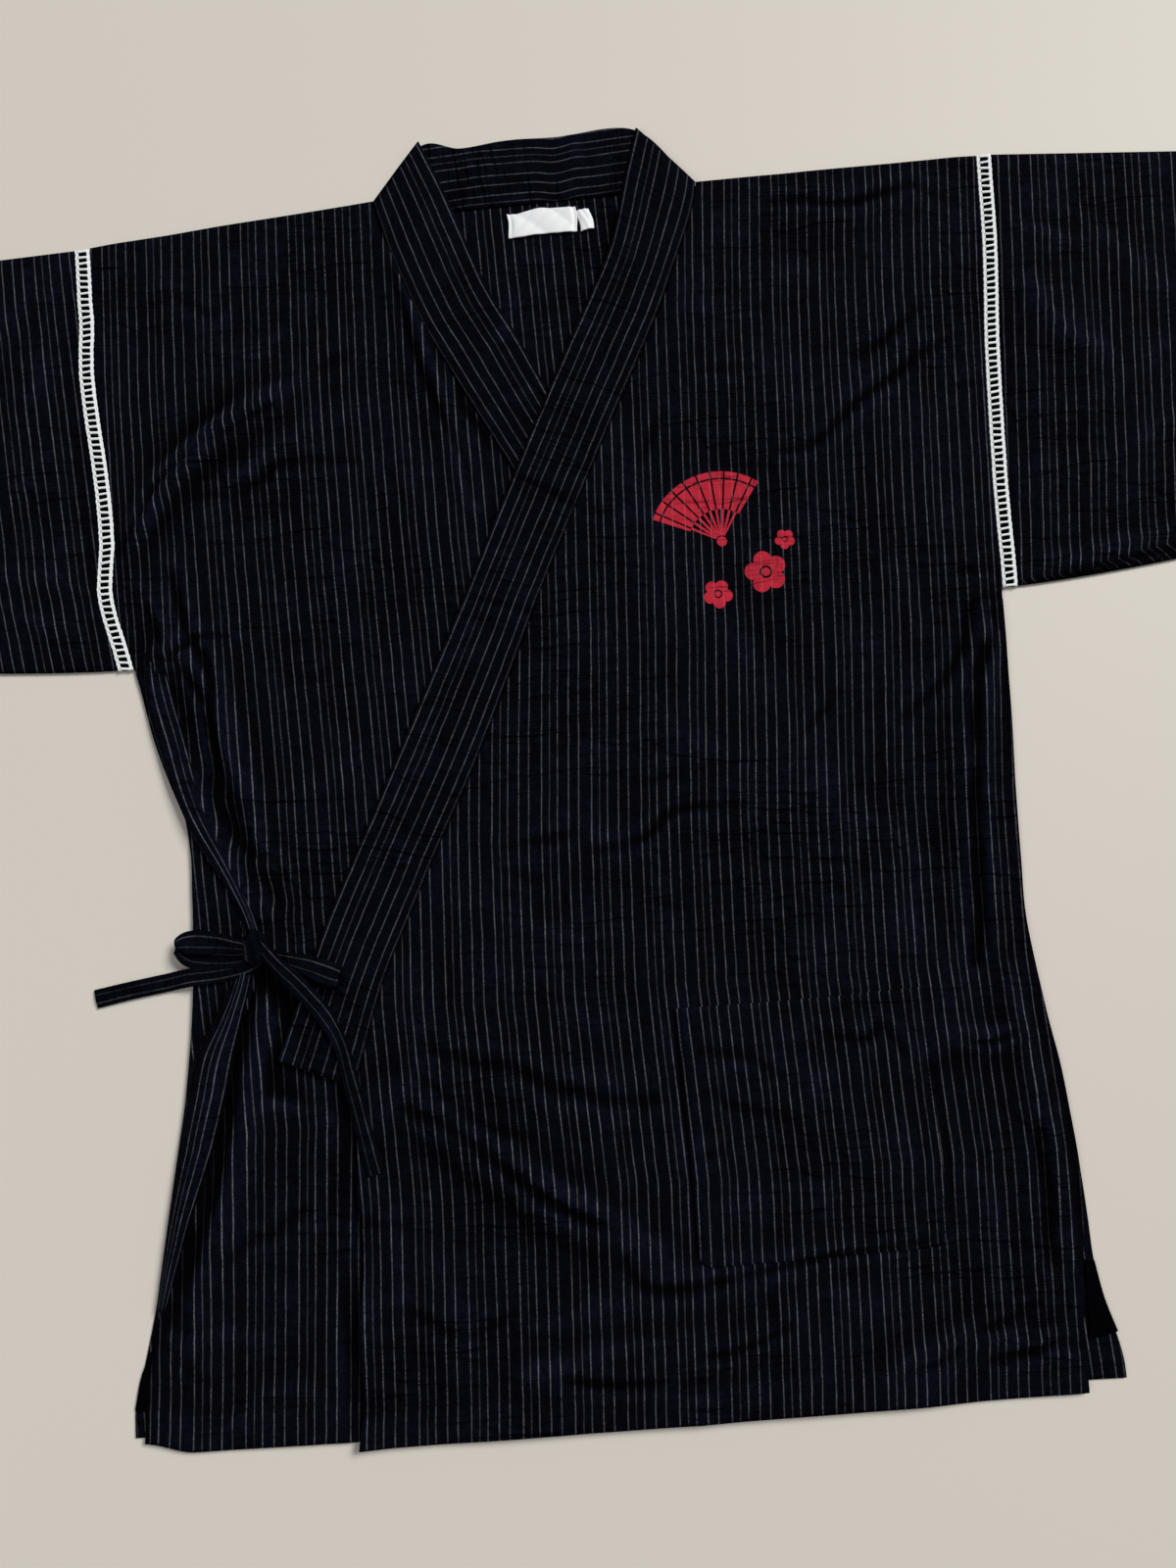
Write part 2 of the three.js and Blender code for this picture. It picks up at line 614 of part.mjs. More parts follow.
// A bow's loop: the tape runs out, turns over and comes back above itself
function loop(from, tip, low, high, width) {
  const out = new THREE.Vector3(tip[0] - from[0], tip[1] - from[1], 0);
  const side = new THREE.Vector3(-out.y, out.x, 0).normalize();
  const turn = (high - low) / 2;
  const profile = [];
  const straight = 5;
  for (let k = 0; k <= straight; k += 1) profile.push([(k / straight) * 0.9, low]);
  profile.push([0.97, low + 0.3 * turn], [1, low + turn], [0.97, high - 0.3 * turn]);
  for (let k = straight; k >= 0; k -= 1) profile.push([(k / straight) * 0.9, high]);
  const upper = [];
  const lower = [];
  profile.forEach(([share, z], i) => {
    const before = profile[Math.max(0, i - 1)];
    const after = profile[Math.min(profile.length - 1, i + 1)];
    const run = new THREE.Vector3().copy(out).multiplyScalar(after[0] - before[0]);
    run.z = after[1] - before[1];
    const up = run.normalize().cross(side).multiplyScalar(TIE_WALL / 2);
    const centre = new THREE.Vector3(from[0], from[1], z).addScaledVector(out, share);
    const spread = width * mix(0.62, 1, Math.min(1, share * 1.6));
    const edges = [-spread / 2, spread / 2].map((s) => centre.clone().addScaledVector(side, s));
    upper.push(edges.map((point) => point.clone().add(up)).reverse());
    lower.push(edges.map((point) => point.clone().sub(up)).reverse());
  });
  return solidFromGrids(upper, lower);
}

// The knot of the bow, and the space that it takes from the tapes that leave it
const KNOT = { x: -207, y: -88, z: 9.9, wide: 17, long: 23, high: 9.6 };
function knot(grow) {
  const ball = new THREE.SphereGeometry(0.5, 16, 10);
  ball.rotateX(Math.PI / 2);
  ball.scale(KNOT.wide + grow, KNOT.long + grow, KNOT.high + grow);
  ball.translate(KNOT.x, KNOT.y, KNOT.z);
  return solidFromGeometry(ball);
}

// A rectangle of woven tape with slightly waved edges, lying on the back panel
function labelStrip(x, y, width, length, wave) {
  const columns = 8;
  const thick = 1;
  const lower = [];
  for (let i = 0; i <= 2; i += 1) {
    const row = [];
    for (let j = 0; j <= columns; j += 1) {
      const share = j / columns - 0.5;
      const rise = wave * (1 - Math.cos(2 * Math.PI * share));
      const place = [x + share * width, y + (i / 2 - 0.5) * length + rise, FIRST_LAYER];
      row.push(new THREE.Vector3(...place));
    }
    lower.push(row);
  }
  const upper = lower.map((row) => row.map((point) => point.clone().setZ(point.z + thick)));
  return solidFromGrids(upper, lower);
}

const cloth = new THREE.MeshStandardMaterial({ color: 0x14161f, roughness: 0.9, metalness: 0 });
const bandCloth = new THREE.MeshStandardMaterial({ color: 0x171926, roughness: 0.9, metalness: 0 });
const laceThread = new THREE.MeshStandardMaterial({ color: 0xebe9e1, roughness: 0.85, metalness: 0 });
const labelTape = new THREE.MeshStandardMaterial({ color: 0xf1f0ea, roughness: 0.7, metalness: 0 });

const jacket = new THREE.Group();
const add = (name, solid, material) => jacket.add(namedMesh(name, solid, material));

const backPanel = panel(backSections, 2, 3 * STEP, () => 0);
add("back", backPanel.add(wrappedSide()), cloth);
add("front_right", panel(underSections, 21, STEP, underHeight), cloth);
const upperFront = panel(upperSections, 20, STEP, upperHeight);
add("front_left", upperFront, cloth);
add("pocket", pocket(upperFront), cloth);
add("sleeve_right", sleeve(sleeves.left), cloth);
add("sleeve_left", sleeve(sleeves.right), cloth);

for (const [wearerSide, table] of [
  ["right", armholes.left],
  ["left", armholes.right],
]) {
  add(`lace_${wearerSide}_front`, lace(table, true, FIRST_LAYER), laceThread);
  add(`lace_${wearerSide}_back`, lace(table, false, 0), laceThread);
}

// Seams leave a little space between the band and the fronts
const parted = (sections, space) =>
  sections.map((row) => ({
    ...row,
    sewnX: row.sewnX + space * Math.sign(row.freeX - row.sewnX),
  }));
const upperBandRest = (x, y) => mix(OVER_BAND, UNDER_BAND, smooth(y, 290, 370));
add("neckband_left", band(parted(upperBandSections, 0.7), upperBandRest), bandCloth);
add("neckband_right", band(parted(underBandSections, 0.7), () => UNDER_BAND), bandCloth);
add("neckband_back", backBand(), bandCloth);

add("label", labelStrip(6, 366, 44, 19, 0.8), labelTape);
add("size_tab", labelStrip(34.5, 364.5, 9, 14, 0), labelTape);

// The bow
const grownKnot = knot(2 * SEAM);
const ties = {
  tie_knot: knot(0),
  tie_loop_1: loop([-212, -86], [-257, -81], 5.9, 9.6, 18).subtract(grownKnot),
  tie_loop_2: loop([-205, -90], [-158, -109], 8.2, 11.4, 15).subtract(grownKnot),
  tie_tail_1: ribbon(
    [
      [-206, -97, 6.2],
      [-222, -101, 5.9],
      [-246, -102, 5.9],
      [-256, -103, 3.6],
      [-266, -105, 1.4],
      [-290, -108, 1.0],
      [-310, -111, 1.0],
    ],
    TIE_WIDTH,
  ).subtract(grownKnot),
  tie_tail_2: ribbon(
    [
      [-204, -86, 13.2],
      [-195, -98, 13.6],
      [-181, -114, 13.2],
      [-170, -130, 9.8],
      [-162, -146, 7.9],
      [-156, -168, 7.9],
      [-151, -194, 7.2],
      [-144, -230, 7.2],
    ],
    TIE_WIDTH,
  ).subtract(grownKnot),
};
for (const [name, solid] of Object.entries(ties)) add(name, solid, cloth);

// The middle of the jacket's box, on the surface that it lies on, is its origin
const box = new THREE.Box3().setFromObject(jacket);
const middle = box.getCenter(new THREE.Vector3());
jacket.position.set(-middle.x, -middle.y, -box.min.z);

export default jacket;
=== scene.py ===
# A men's jinbei jacket of thin black cotton with pinstripes, laid flat with its front up.
# The sizes are in millimetres of the garment's own plan, with +X to the viewer's right and
# +Y towards the collar, and each piece is turned into metres around the middle of the jacket.
import math

import bpy
import numpy as np
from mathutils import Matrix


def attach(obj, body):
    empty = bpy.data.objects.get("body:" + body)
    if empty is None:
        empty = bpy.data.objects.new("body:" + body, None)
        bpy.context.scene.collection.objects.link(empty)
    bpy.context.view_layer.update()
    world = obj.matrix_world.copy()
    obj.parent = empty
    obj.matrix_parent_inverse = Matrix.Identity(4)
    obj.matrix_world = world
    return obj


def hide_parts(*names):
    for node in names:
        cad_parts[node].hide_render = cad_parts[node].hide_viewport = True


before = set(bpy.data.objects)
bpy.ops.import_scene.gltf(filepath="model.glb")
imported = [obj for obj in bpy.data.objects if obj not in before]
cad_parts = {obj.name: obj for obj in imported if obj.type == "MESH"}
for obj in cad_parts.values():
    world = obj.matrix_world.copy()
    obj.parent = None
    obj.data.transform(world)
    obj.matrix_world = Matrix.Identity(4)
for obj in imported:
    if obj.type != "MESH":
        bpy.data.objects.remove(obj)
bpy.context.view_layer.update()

# The camera stands above the middle of the jacket and looks almost straight down
camera_data = bpy.data.cameras.new("camera")
camera_data.sensor_width = 36
camera_data.lens = 27.04
camera = bpy.data.objects.new("camera", camera_data)
camera.location = (-0.0046, -0.0892, 0.735)
camera.rotation_euler = (math.radians(5.3), 0, math.radians(-5.0))
bpy.context.scene.collection.objects.link(camera)
bpy.context.scene.camera = camera

# A large soft panel overhead and a weaker one to the side light a plain pale room
for light_name, place, aim, width, watts in (
    ("overhead", (10.5, 7.8, 12.6), (0.0, 0.0, 0.0), 6.8, 3500),
    ("side", (-3.6, -1.2, 4.0), (-0.2, 0.0, 0.0), 2.4, 50),
):
    light_data = bpy.data.lights.new(light_name, "AREA")
    light_data.size = width
    light_data.energy = watts
    light = bpy.data.objects.new(light_name, light_data)
    light.location = place
    away = np.array(place) - np.array(aim)
    tilt = math.acos(away[2] / np.linalg.norm(away))
    light.rotation_euler = (tilt, 0, math.atan2(away[1], away[0]) + math.pi / 2)
    bpy.context.scene.collection.objects.link(light)
world = bpy.data.worlds.new("room")
world.use_nodes = True
world.node_tree.nodes["Background"].inputs["Color"].default_value = (0.93, 0.95, 1.0, 1)
world.node_tree.nodes["Background"].inputs["Strength"].default_value = 0.22
bpy.context.scene.world = world
bpy.context.scene.view_settings.view_transform = "Standard"

# The floor is a plain pale board, wider than the picture
bpy.ops.mesh.primitive_plane_add(size=6, location=(0, 0, -0.0004))
floor = bpy.context.object
floor.name = "floor"


def plain_look(name, colour, roughness):
    """A matt material of one colour; returns it, its tree and its shader."""
    look = bpy.data.materials.new(name)
    look.use_nodes = True
    shader = look.node_tree.nodes["Principled BSDF"]
    shader.inputs["Base Color"].default_value = colour
    shader.inputs["Roughness"].default_value = roughness
    return look, look.node_tree, shader


floor.data.materials.append(plain_look("floor board", (0.60, 0.555, 0.49, 1), 0.6)[0])

# The back is one width of pinstriped cotton from hem to shoulder, with a narrow doubled hem.
# Its side at the viewer's left is pulled over the front by the tie and ends in the side slit.
# Each layer of cloth lifts the next by one LAYER, and COTTON_MIDDLE is half way up the real sheet.
# PLAIN_CUT is a place across the cut between two woven lines, for turnings that show no lines and are
# painted black as deep shade.
MIDDLE = (2.75, 16.5)
STRIPE_REPEAT = 31.0
LAYER = 1.5
COTTON_WALL = 0.6
COTTON_MIDDLE = 0.45
PLAIN_CUT = 13.2
# The fullest painted shade: a sheet given it is painted near black, as if in deep shadow
FULL_PAINTED_SHADE = 1.0


def mixed(a, b, share):
    return a + (b - a) * share


def eased(value, start, end):
    share = np.clip((value - start) / (end - start), 0, 1)
    return share * share * (3 - 2 * share)


def mound(distance, half):
    """A soft mound: one at the middle, and falling away over its half width."""
    return np.exp(-((distance / half) ** 2))


def level(rows, y):
    """Value at y from pairs of (y, value) given in falling y."""
    pairs = np.array(rows, float)[::-1]
    return np.interp(y, pairs[:, 0], pairs[:, 1])


def through(points, parts=40):
    """A dense smooth run through a few points."""
    given = np.array(points, float)
    ends = np.vstack([2 * given[0] - given[1], given, 2 * given[-1] - given[-2]])
    t = np.linspace(0, len(given) - 1, parts * (len(given) - 1) + 1)
    k = np.minimum(t.astype(int), len(given) - 2)
    s = (t - k)[:, None]
    a, b, c, d = ends[k], ends[k + 1], ends[k + 2], ends[k + 3]
    cubic = 3 * b - a - 3 * c + d
    return 0.5 * (2 * b + (c - a) * s + (2 * a - 5 * b + 4 * c - d) * s * s + cubic * s**3)


def walked_along(run):
    """Length walked along a run at each of its points."""
    return np.concatenate([[0], np.cumsum(np.linalg.norm(np.diff(run, axis=0), axis=1))])


def even(runs, step):
    """Picks points along several matched runs, evenly by the length of their mean."""
    walked = walked_along(sum(runs) / len(runs))
    count = int(round(walked[-1] / step)) + 1
    wanted = np.linspace(0, walked[-1], count)
    picked = []
    for run in runs:
        columns = [np.interp(wanted, walked, column) for column in run.T]
        picked.append(np.stack(columns, axis=1))
    return picked


def spread(left, right, step):
    """Plan grid between two side outlines: x and y of each cell corner."""
    if len(left) == len(right):
        runs = [through(left), through(right)]
    else:
        runs = [even([through(side)], 0.5)[0] for side in (left, right)]
        count = min(len(run) for run in runs)
        runs = [run[np.linspace(0, len(run) - 1, count).round().astype(int)] for run in runs]
    left_run, right_run = even(runs, step)
    width = np.linalg.norm(right_run - left_run, axis=1).max()
    share = np.linspace(0, 1, int(round(width / step)) + 1)[None, :]
    x = mixed(left_run[:, 0:1], right_run[:, 0:1], share)
    y = mixed(left_run[:, 1:2], right_run[:, 1:2], share)
    return x, y


def waves(x, y, seed, height, longest=190, shortest=35):
    """Uneven low swells that a cloth keeps when it is smoothed out by hand."""
    dice = np.random.default_rng(seed)
    total = np.zeros_like(x)
    for _ in range(14):
        length = dice.uniform(shortest, longest)
        angle = dice.uniform(0, math.pi)
        phase = dice.uniform(0, 2 * math.pi)
        swing = height * (length / longest) * dice.uniform(0.4, 1)
        across = x * math.cos(angle) + y * math.sin(angle)
        bend = 9 * np.sin((y * math.cos(angle) - x * math.sin(angle)) / (0.6 * length) + phase)
        total += swing * np.sin(2 * math.pi * (across + bend) / length + phase)
    return total


def near_path(x, y, path):
    """Distance to a path, the side of it, and a taper that fades out at both of its ends."""
    run = through(path, 5) if len(path) > 2 else np.array(path, float)
    nearest = np.full(x.shape, 1e9)
    side = np.zeros_like(x)
    place = np.zeros_like(x)
    for k in range(len(run) - 1):
        along = run[k + 1] - run[k]
        from_x = x - run[k][0]
        from_y = y - run[k][1]
        share = np.clip((from_x * along[0] + from_y * along[1]) / (along @ along), 0, 1)
        dx = from_x - share * along[0]
        dy = from_y - share * along[1]
        away = np.hypot(dx, dy)
        closer = away < nearest
        nearest = np.where(closer, away, nearest)
        side = np.where(closer, dx * along[1] - dy * along[0], side)
        place = np.where(closer, (k + share) / (len(run) - 1), place)
    return nearest, side, np.sin(math.pi * np.clip(0.12 + 0.76 * place, 0, 1)) ** 0.7


def creases(x, y, folds):
    """Sum of soft ridges and troughs. A fold is its path, its height and its two half widths."""
    total = np.zeros_like(x)
    for path, height, left_half, right_half in folds:
        nearest, side, taper = near_path(x, y, path)
        half = np.where(side > 0, right_half, left_half)
        total += height * taper * np.exp(-((nearest / half) ** 1.35))
    return total


def valleys(x, y, hollows):
    """Narrow valleys between two soft banks, with a painted shadow along each. A hollow is its path, its
    depth and its half width.
    """
    height = np.zeros_like(x)
    painted_shadow = np.zeros_like(x)
    for path, depth, half in hollows:
        nearest, side, taper = near_path(x, y, path)
        wander = 1 + 0.25 * np.sin((x + 1.7 * y) / 13.0) + 0.15 * np.sin((1.3 * x - y) / 6.0)
        banks = 0.85 * mound(nearest, 2.8 * half) - 0.85 * mound(nearest, half)
        height += depth * taper * banks
        # Painted shadow along the valley, darker for a deeper one
        painted_shadow += 0.86 * (depth / 4) ** 1.3 * taper * wander * mound(nearest, 1.3 * half)
    return height, painted_shadow


def painted_fold_light(z, painted_shadow):
    """Painted shade and highlight: nought in a deep fold, a half where flat, one on a ridge."""
    level_z = z
    for _ in range(40):
        edge = np.pad(level_z, 1, mode="edge")
        near = edge[:-2, 1:-1] + edge[2:, 1:-1] + edge[1:-1, :-2] + edge[1:-1, 2:]
        level_z = 0.5 * level_z + 0.125 * near
    return np.clip(0.5 + 0.30 * (z - level_z) - 0.45 * painted_shadow, 0, 1)


def add_mesh(name, points, faces, cut=None, painted_light=None):
    """A mesh from points in plan millimetres, with the flat cut as its UV map and its painted fold shade
    and highlight.
    """
    metres = (np.asarray(points, float) - (MIDDLE[0], MIDDLE[1], 0)) / 1000
    mesh = bpy.data.meshes.new(name)
    mesh.from_pydata(metres.tolist(), [], [tuple(face) for face in faces])
    if cut is not None:
        flat = np.asarray(cut, float) / 1000
        layer = mesh.uv_layers.new(name="cut")
        corners = np.zeros(len(mesh.loops), int)
        mesh.loops.foreach_get("vertex_index", corners)
        layer.data.foreach_set("uv", flat[corners].ravel())
    if painted_light is not None:
        mesh.attributes.new("painted fold light", "FLOAT", "POINT").data.foreach_set("value", painted_light)
    mesh.update()
    piece = bpy.data.objects.new(name, mesh)
    bpy.context.scene.collection.objects.link(piece)
    bpy.ops.object.select_all(action="DESELECT")
    piece.select_set(True)
    bpy.context.view_layer.objects.active = piece
    return piece


def grid_faces(rows, columns, first):
    """Four-sided faces of a grid whose corners are numbered from the first one on."""
    corner = first + np.arange(rows * columns).reshape(rows, columns)
    cells = [corner[:-1, :-1], corner[:-1, 1:], corner[1:, 1:], corner[1:, :-1]]
    return np.stack(cells, axis=-1).reshape(-1, 4)


def thicken(piece, wall):
    """Gives a thin sheet its real thickness, half on each side of its middle."""
    solidify = piece.modifiers.new("wall", "SOLIDIFY")
    solidify.thickness = wall / 1000
    solidify.offset = 0.0
    solidify.use_even_offset = False
    bpy.ops.object.modifier_apply(modifier=solidify.name)
    bpy.ops.object.shade_smooth()


def sheet_piece(name, x, y, z, cut_u, cut_v, wall, extras=(), painted_shadow=0.0):
    """A cloth sheet from its grid of middle points and further grids joined to it, with painted shade in
    folds and highlights on ridges.
    """
    points = np.zeros((0, 3))
    cut = np.zeros((0, 2))
    painted_light = np.zeros(0)
    faces = np.zeros((0, 4), int)
    for grid_x, grid_y, grid_z, grid_u, grid_v, grid_painted_shadow in [(x, y, z, cut_u, cut_v, painted_shadow), *extras]:
        faces = np.vstack([faces, grid_faces(*grid_x.shape, len(points))])
        points = np.vstack([points, np.stack([grid_x, grid_y, grid_z], axis=-1).reshape(-1, 3)])
        cut = np.vstack([cut, np.stack([grid_u, grid_v], axis=-1).reshape(-1, 2)])
        painted_light = np.concatenate([painted_light, painted_fold_light(grid_z, grid_painted_shadow).ravel()])
    piece = add_mesh(name, points, faces, cut, painted_light)
    thicken(piece, wall)
    return piece


def finish_cloth(piece, node, look):
    """Hands a finished sheet to the frame in the place of its solid."""
    piece.data.materials.clear()
    piece.data.materials.append(look)
    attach(piece, "root")
    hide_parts(node)


def link(tree, source, target):
    tree.links.new(source, target)


def calculate(tree, operation, first, second=None, third=None, clamp=False):
    """A Math node whose inputs are sockets or numbers."""
    node = tree.nodes.new("ShaderNodeMath")
    node.operation = operation
    node.use_clamp = clamp
    for socket, value in zip(node.inputs, (first, second, third)):
        if value is None:
            continue
        if isinstance(value, (int, float)):
            socket.default_value = value
        else:
            link(tree, value, socket)
    return node.outputs[0]


def times(tree, first, second):
    return calculate(tree, "MULTIPLY", first, second)


def noise(tree, vector, scale, detail=2.0, roughness=0.5):
    node = tree.nodes.new("ShaderNodeTexNoise")
    node.inputs["Scale"].default_value = scale
    node.inputs["Detail"].default_value = detail
    node.inputs["Roughness"].default_value = roughness
    link(tree, vector, node.inputs["Vector"])
    return node.outputs["Fac"]


def stretched(tree, vector, factors):
    node = tree.nodes.new("ShaderNodeMapping")
    node.inputs["Scale"].default_value = factors
    link(tree, vector, node.inputs["Vector"])
    return node.outputs["Vector"]


def remap(tree, value, low, high, to_low, to_high):
    node = tree.nodes.new("ShaderNodeMapRange")
    node.interpolation_type = "SMOOTHSTEP"
    link(tree, value, node.inputs["Value"])
    for key, number in (("From Min", low), ("From Max", high), ("To Min", to_low), ("To Max", to_high)):
        node.inputs[key].default_value = number
    return node.outputs["Result"]


def new_group(name, outputs):
    tree = bpy.data.node_groups.new(name, "ShaderNodeTree")
    tree.interface.new_socket(name="Cut", in_out="INPUT", socket_type="NodeSocketVector")
    for output in outputs:
        tree.interface.new_socket(name=output, in_out="OUTPUT", socket_type="NodeSocketFloat")
    return tree, tree.nodes.new("NodeGroupInput").outputs["Cut"], tree.nodes.new("NodeGroupOutput")


# Pinstripes: five woven lines to a repeat, the second one faint, each a little uneven
stripes, cut_in, stripes_out = new_group("pinstripes", ["Lines", "Tint"])
parts = stripes.nodes.new("ShaderNodeSeparateXYZ")
link(stripes, cut_in, parts.inputs["Vector"])
wander = noise(stripes, stretched(stripes, cut_in, (18, 9, 1)), 1.0, 2.0)
across = times(stripes, parts.outputs["X"], 1000.0)
across = calculate(stripes, "MULTIPLY_ADD", wander, 1.5, across)
flutter = noise(stripes, stretched(stripes, cut_in, (40, 62, 1)), 1.0, 2.0)
across = calculate(stripes, "MULTIPLY_ADD", flutter, 0.9, across)
across = calculate(stripes, "ADD", across, 310 * STRIPE_REPEAT + 1.8)
across = calculate(stripes, "MODULO", across, STRIPE_REPEAT)
slub = noise(stripes, stretched(stripes, cut_in, (300, 70, 1)), 1.0, 3.0, 0.7)
slub = remap(stripes, slub, 0.30, 0.66, 0.45, 1.0)
threads = noise(stripes, stretched(stripes, cut_in, (240, 620, 1)), 1.0, 2.0)
threads = remap(stripes, threads, 0.34, 0.56, 0.55, 1.0)
lines = None
for place, strength in ((3.0, 1.0), (7.9, 0.5), (12.8, 0.95), (19.7, 1.0), (26.0, 0.92)):
    away = calculate(stripes, "ABSOLUTE", calculate(stripes, "SUBTRACT", across, place))
    line = remap(stripes, away, 0.06, 0.60, strength, 0.0)
    lines = line if lines is None else calculate(stripes, "ADD", lines, line)
lines = times(stripes, times(stripes, lines, slub), threads)
tint = noise(stripes, stretched(stripes, cut_in, (26, 22, 1)), 1.0, 5.0, 0.7)
link(stripes, lines, stripes_out.inputs["Lines"])
link(stripes, tint, stripes_out.inputs["Tint"])

# Weave: slubby plain cloth, as heights for the bump of any cloth
weave, cut_in, weave_out = new_group("slub weave", ["Height"])
warp = noise(weave, stretched(weave, cut_in, (2600, 160, 1)), 1.0, 2.0)
weft = noise(weave, stretched(weave, cut_in, (170, 2600, 1)), 1.0, 2.0)
puckers = noise(weave, stretched(weave, cut_in, (330, 210, 1)), 1.0, 3.0, 0.62)
height = calculate(weave, "ADD", times(weave, warp, 0.35), times(weave, weft, 0.35))
height = calculate(weave, "MULTIPLY_ADD", puckers, 0.9, height)
link(weave, height, weave_out.inputs["Height"])

# Wrinkles: fine hollows left by folding and wear, in patches, most of them across the stripes; their
# heights give a bump and painted shade
wrinkles, cut_in, wrinkles_out = new_group("fine wrinkles", ["Height"])
total = None
for factors, strength in (((7, 36, 1), 1.0), ((24, 22, 1), 0.7), ((14, 84, 1), 0.5)):
    layer = noise(wrinkles, stretched(wrinkles, cut_in, factors), 1.0, 3.0, 0.55)
    ridge = calculate(wrinkles, "ABSOLUTE", calculate(wrinkles, "SUBTRACT", layer, 0.5))
    ridge = remap(wrinkles, ridge, 0.0, 0.06, -strength, 0.0)
    total = ridge if total is None else calculate(wrinkles, "ADD", total, ridge)
patches = noise(wrinkles, stretched(wrinkles, cut_in, (7, 8, 1)), 1.0, 2.0)
total = times(wrinkles, total, remap(wrinkles, patches, 0.38, 0.62, 0.25, 1.0))
link(wrinkles, total, wrinkles_out.inputs["Height"])


def group_node(tree, group, vector):
    node = tree.nodes.new("ShaderNodeGroup")
    node.node_tree = group
    link(tree, vector, node.inputs["Cut"])
    return node


def mixed_colour(tree, factor, first, second):
    node = tree.nodes.new("ShaderNodeMix")
    node.data_type = "RGBA"
    link(tree, factor, node.inputs["Factor"])
    for socket, value in zip([s for s in node.inputs if s.type == "RGBA"], (first, second)):
        if isinstance(value, tuple):
            socket.default_value = value
        else:
            link(tree, value, socket)
    return [s for s in node.outputs if s.type == "RGBA"][0]


def bumped(tree, height, strength, distance):
    node = tree.nodes.new("ShaderNodeBump")
    node.inputs["Strength"].default_value = strength
    node.inputs["Distance"].default_value = distance
    link(tree, height, node.inputs["Height"])
    return node


BLACK_GROUND = (0.0022, 0.0023, 0.0056, 1)
NAVY_GROUND = (0.0036, 0.0042, 0.0102, 1)
BETWEEN_THREADS = (0.0003, 0.0003, 0.0006, 1)
# Colour that painted shade in folds and wrinkles mixes towards
PAINTED_SHADE_COLOUR = (0.0001, 0.0001, 0.0002, 1)


def striped_look(name, thread, navy=NAVY_GROUND):
    """Black cotton with grey woven lines, painted darker in folds and wrinkles and lighter on ridges;
    returns the material, its tree, shader and base colour.
    """
    look, tree, shader = plain_look(name, navy, 0.92)
    uv = tree.nodes.new("ShaderNodeUVMap")
    uv.name = "cut map"
    uv.uv_map = "cut"
    lines_node = group_node(tree, stripes, uv.outputs["UV"])
    cloth_height = group_node(tree, weave, uv.outputs["UV"]).outputs["Height"]
    wrinkle_height = group_node(tree, wrinkles, uv.outputs["UV"]).outputs["Height"]
    # Painted fold shade and ridge highlight, read from each sheet's attribute
    painted_light_node = tree.nodes.new("ShaderNodeAttribute")
    painted_light_node.attribute_name = "painted fold light"
    tint = remap(tree, lines_node.outputs["Tint"], 0.34, 0.66, 0.0, 1.0)
    base = mixed_colour(tree, tint, BLACK_GROUND, navy)
    base = mixed_colour(tree, remap(tree, cloth_height, 0.50, 1.0, 0.25, 1.0), BETWEEN_THREADS, base)
    base = mixed_colour(tree, lines_node.outputs["Lines"], base, thread)
    painted_shade_and_highlight = remap(tree, painted_light_node.outputs["Fac"], -0.12, 1.05, 0.04, 1.25)
    # Fine wrinkles and folds are painted darker and ridges lighter, by a mix towards the painted shade
    # colour
    depth = calculate(tree, "MULTIPLY_ADD", wrinkle_height, 0.20, 1.0)
    depth = calculate(tree, "MULTIPLY", depth, painted_shade_and_highlight, clamp=True)
    base = mixed_colour(tree, depth, PAINTED_SHADE_COLOUR, base)
    link(tree, base, shader.inputs["Base Color"])
    shader.inputs["Specular IOR Level"].default_value = 0.02
    woven = bumped(tree, cloth_height, 0.5, 0.00035)
    creased = bumped(tree, wrinkle_height, 0.9, 0.0017)
    link(tree, woven.outputs["Normal"], creased.inputs["Normal"])
    link(tree, creased.outputs["Normal"], shader.inputs["Normal"])
    return look, tree, shader, base


BODY_THREAD = (0.122, 0.122, 0.142, 1)
body_cloth = striped_look("body cotton", BODY_THREAD)[0]

# Middle of the lace down each armhole, in rows of y and x
LACE_LEFT = [
    (372, -294.3), (336, -294.1), (325, -293.4), (315, -293.6), (304, -294.5), (288, -295.1),
    (272, -294.4), (251, -292.8), (230, -290.7), (209, -288.9), (188, -287.7), (173, -287.5),
    (158, -289.3), (145, -290.6), (137, -290.1), (127, -288.4), (117, -286.0), (107, -283.4),
    (92, -280.0),
]
LACE_RIGHT = [
    (386, 299.4), (369, 298.4), (347, 297.2), (326, 295.9), (294, 293.1), (262, 290.1), (231, 287.7),
    (199, 285.4), (168, 283.8), (137, 283.2), (117, 282.9), (97, 282.0),
]
LACE_HALF = 5.05
ARM_LEFT = [(y, x + LACE_HALF) for y, x in LACE_LEFT]
ARM_RIGHT = [(y, x - LACE_HALF) for y, x in LACE_RIGHT]
left_arm_rows = [(x, y) for y, x in ARM_LEFT if 100 < y < 371][::-1]
right_arm_rows = [(x, y) for y, x in ARM_RIGHT if 105 < y < 380][::-1]
back_left = [
    (-298, -371), (-297, -352), (-290, -328), (-281, -293), (-272, -248), (-262, -200), (-254, -154),
    (-250, -120), (-247, -70), (-246, -30), (-251, 8), (-263, 44), (-272, 82), *left_arm_rows,
    (-289.2, 373),
]
back_right = [
    (293.9, -388), (293.6, -376), (290.6, -359), (286, -338), (283, -318), (282.5, -292), (281.5, -262),
    (278, -206), (272, -165), (267, -128), (268, -65), (270, -30), (273, 14), (275, 50), (276, 88),
    *right_arm_rows, (294.2, 386),
]
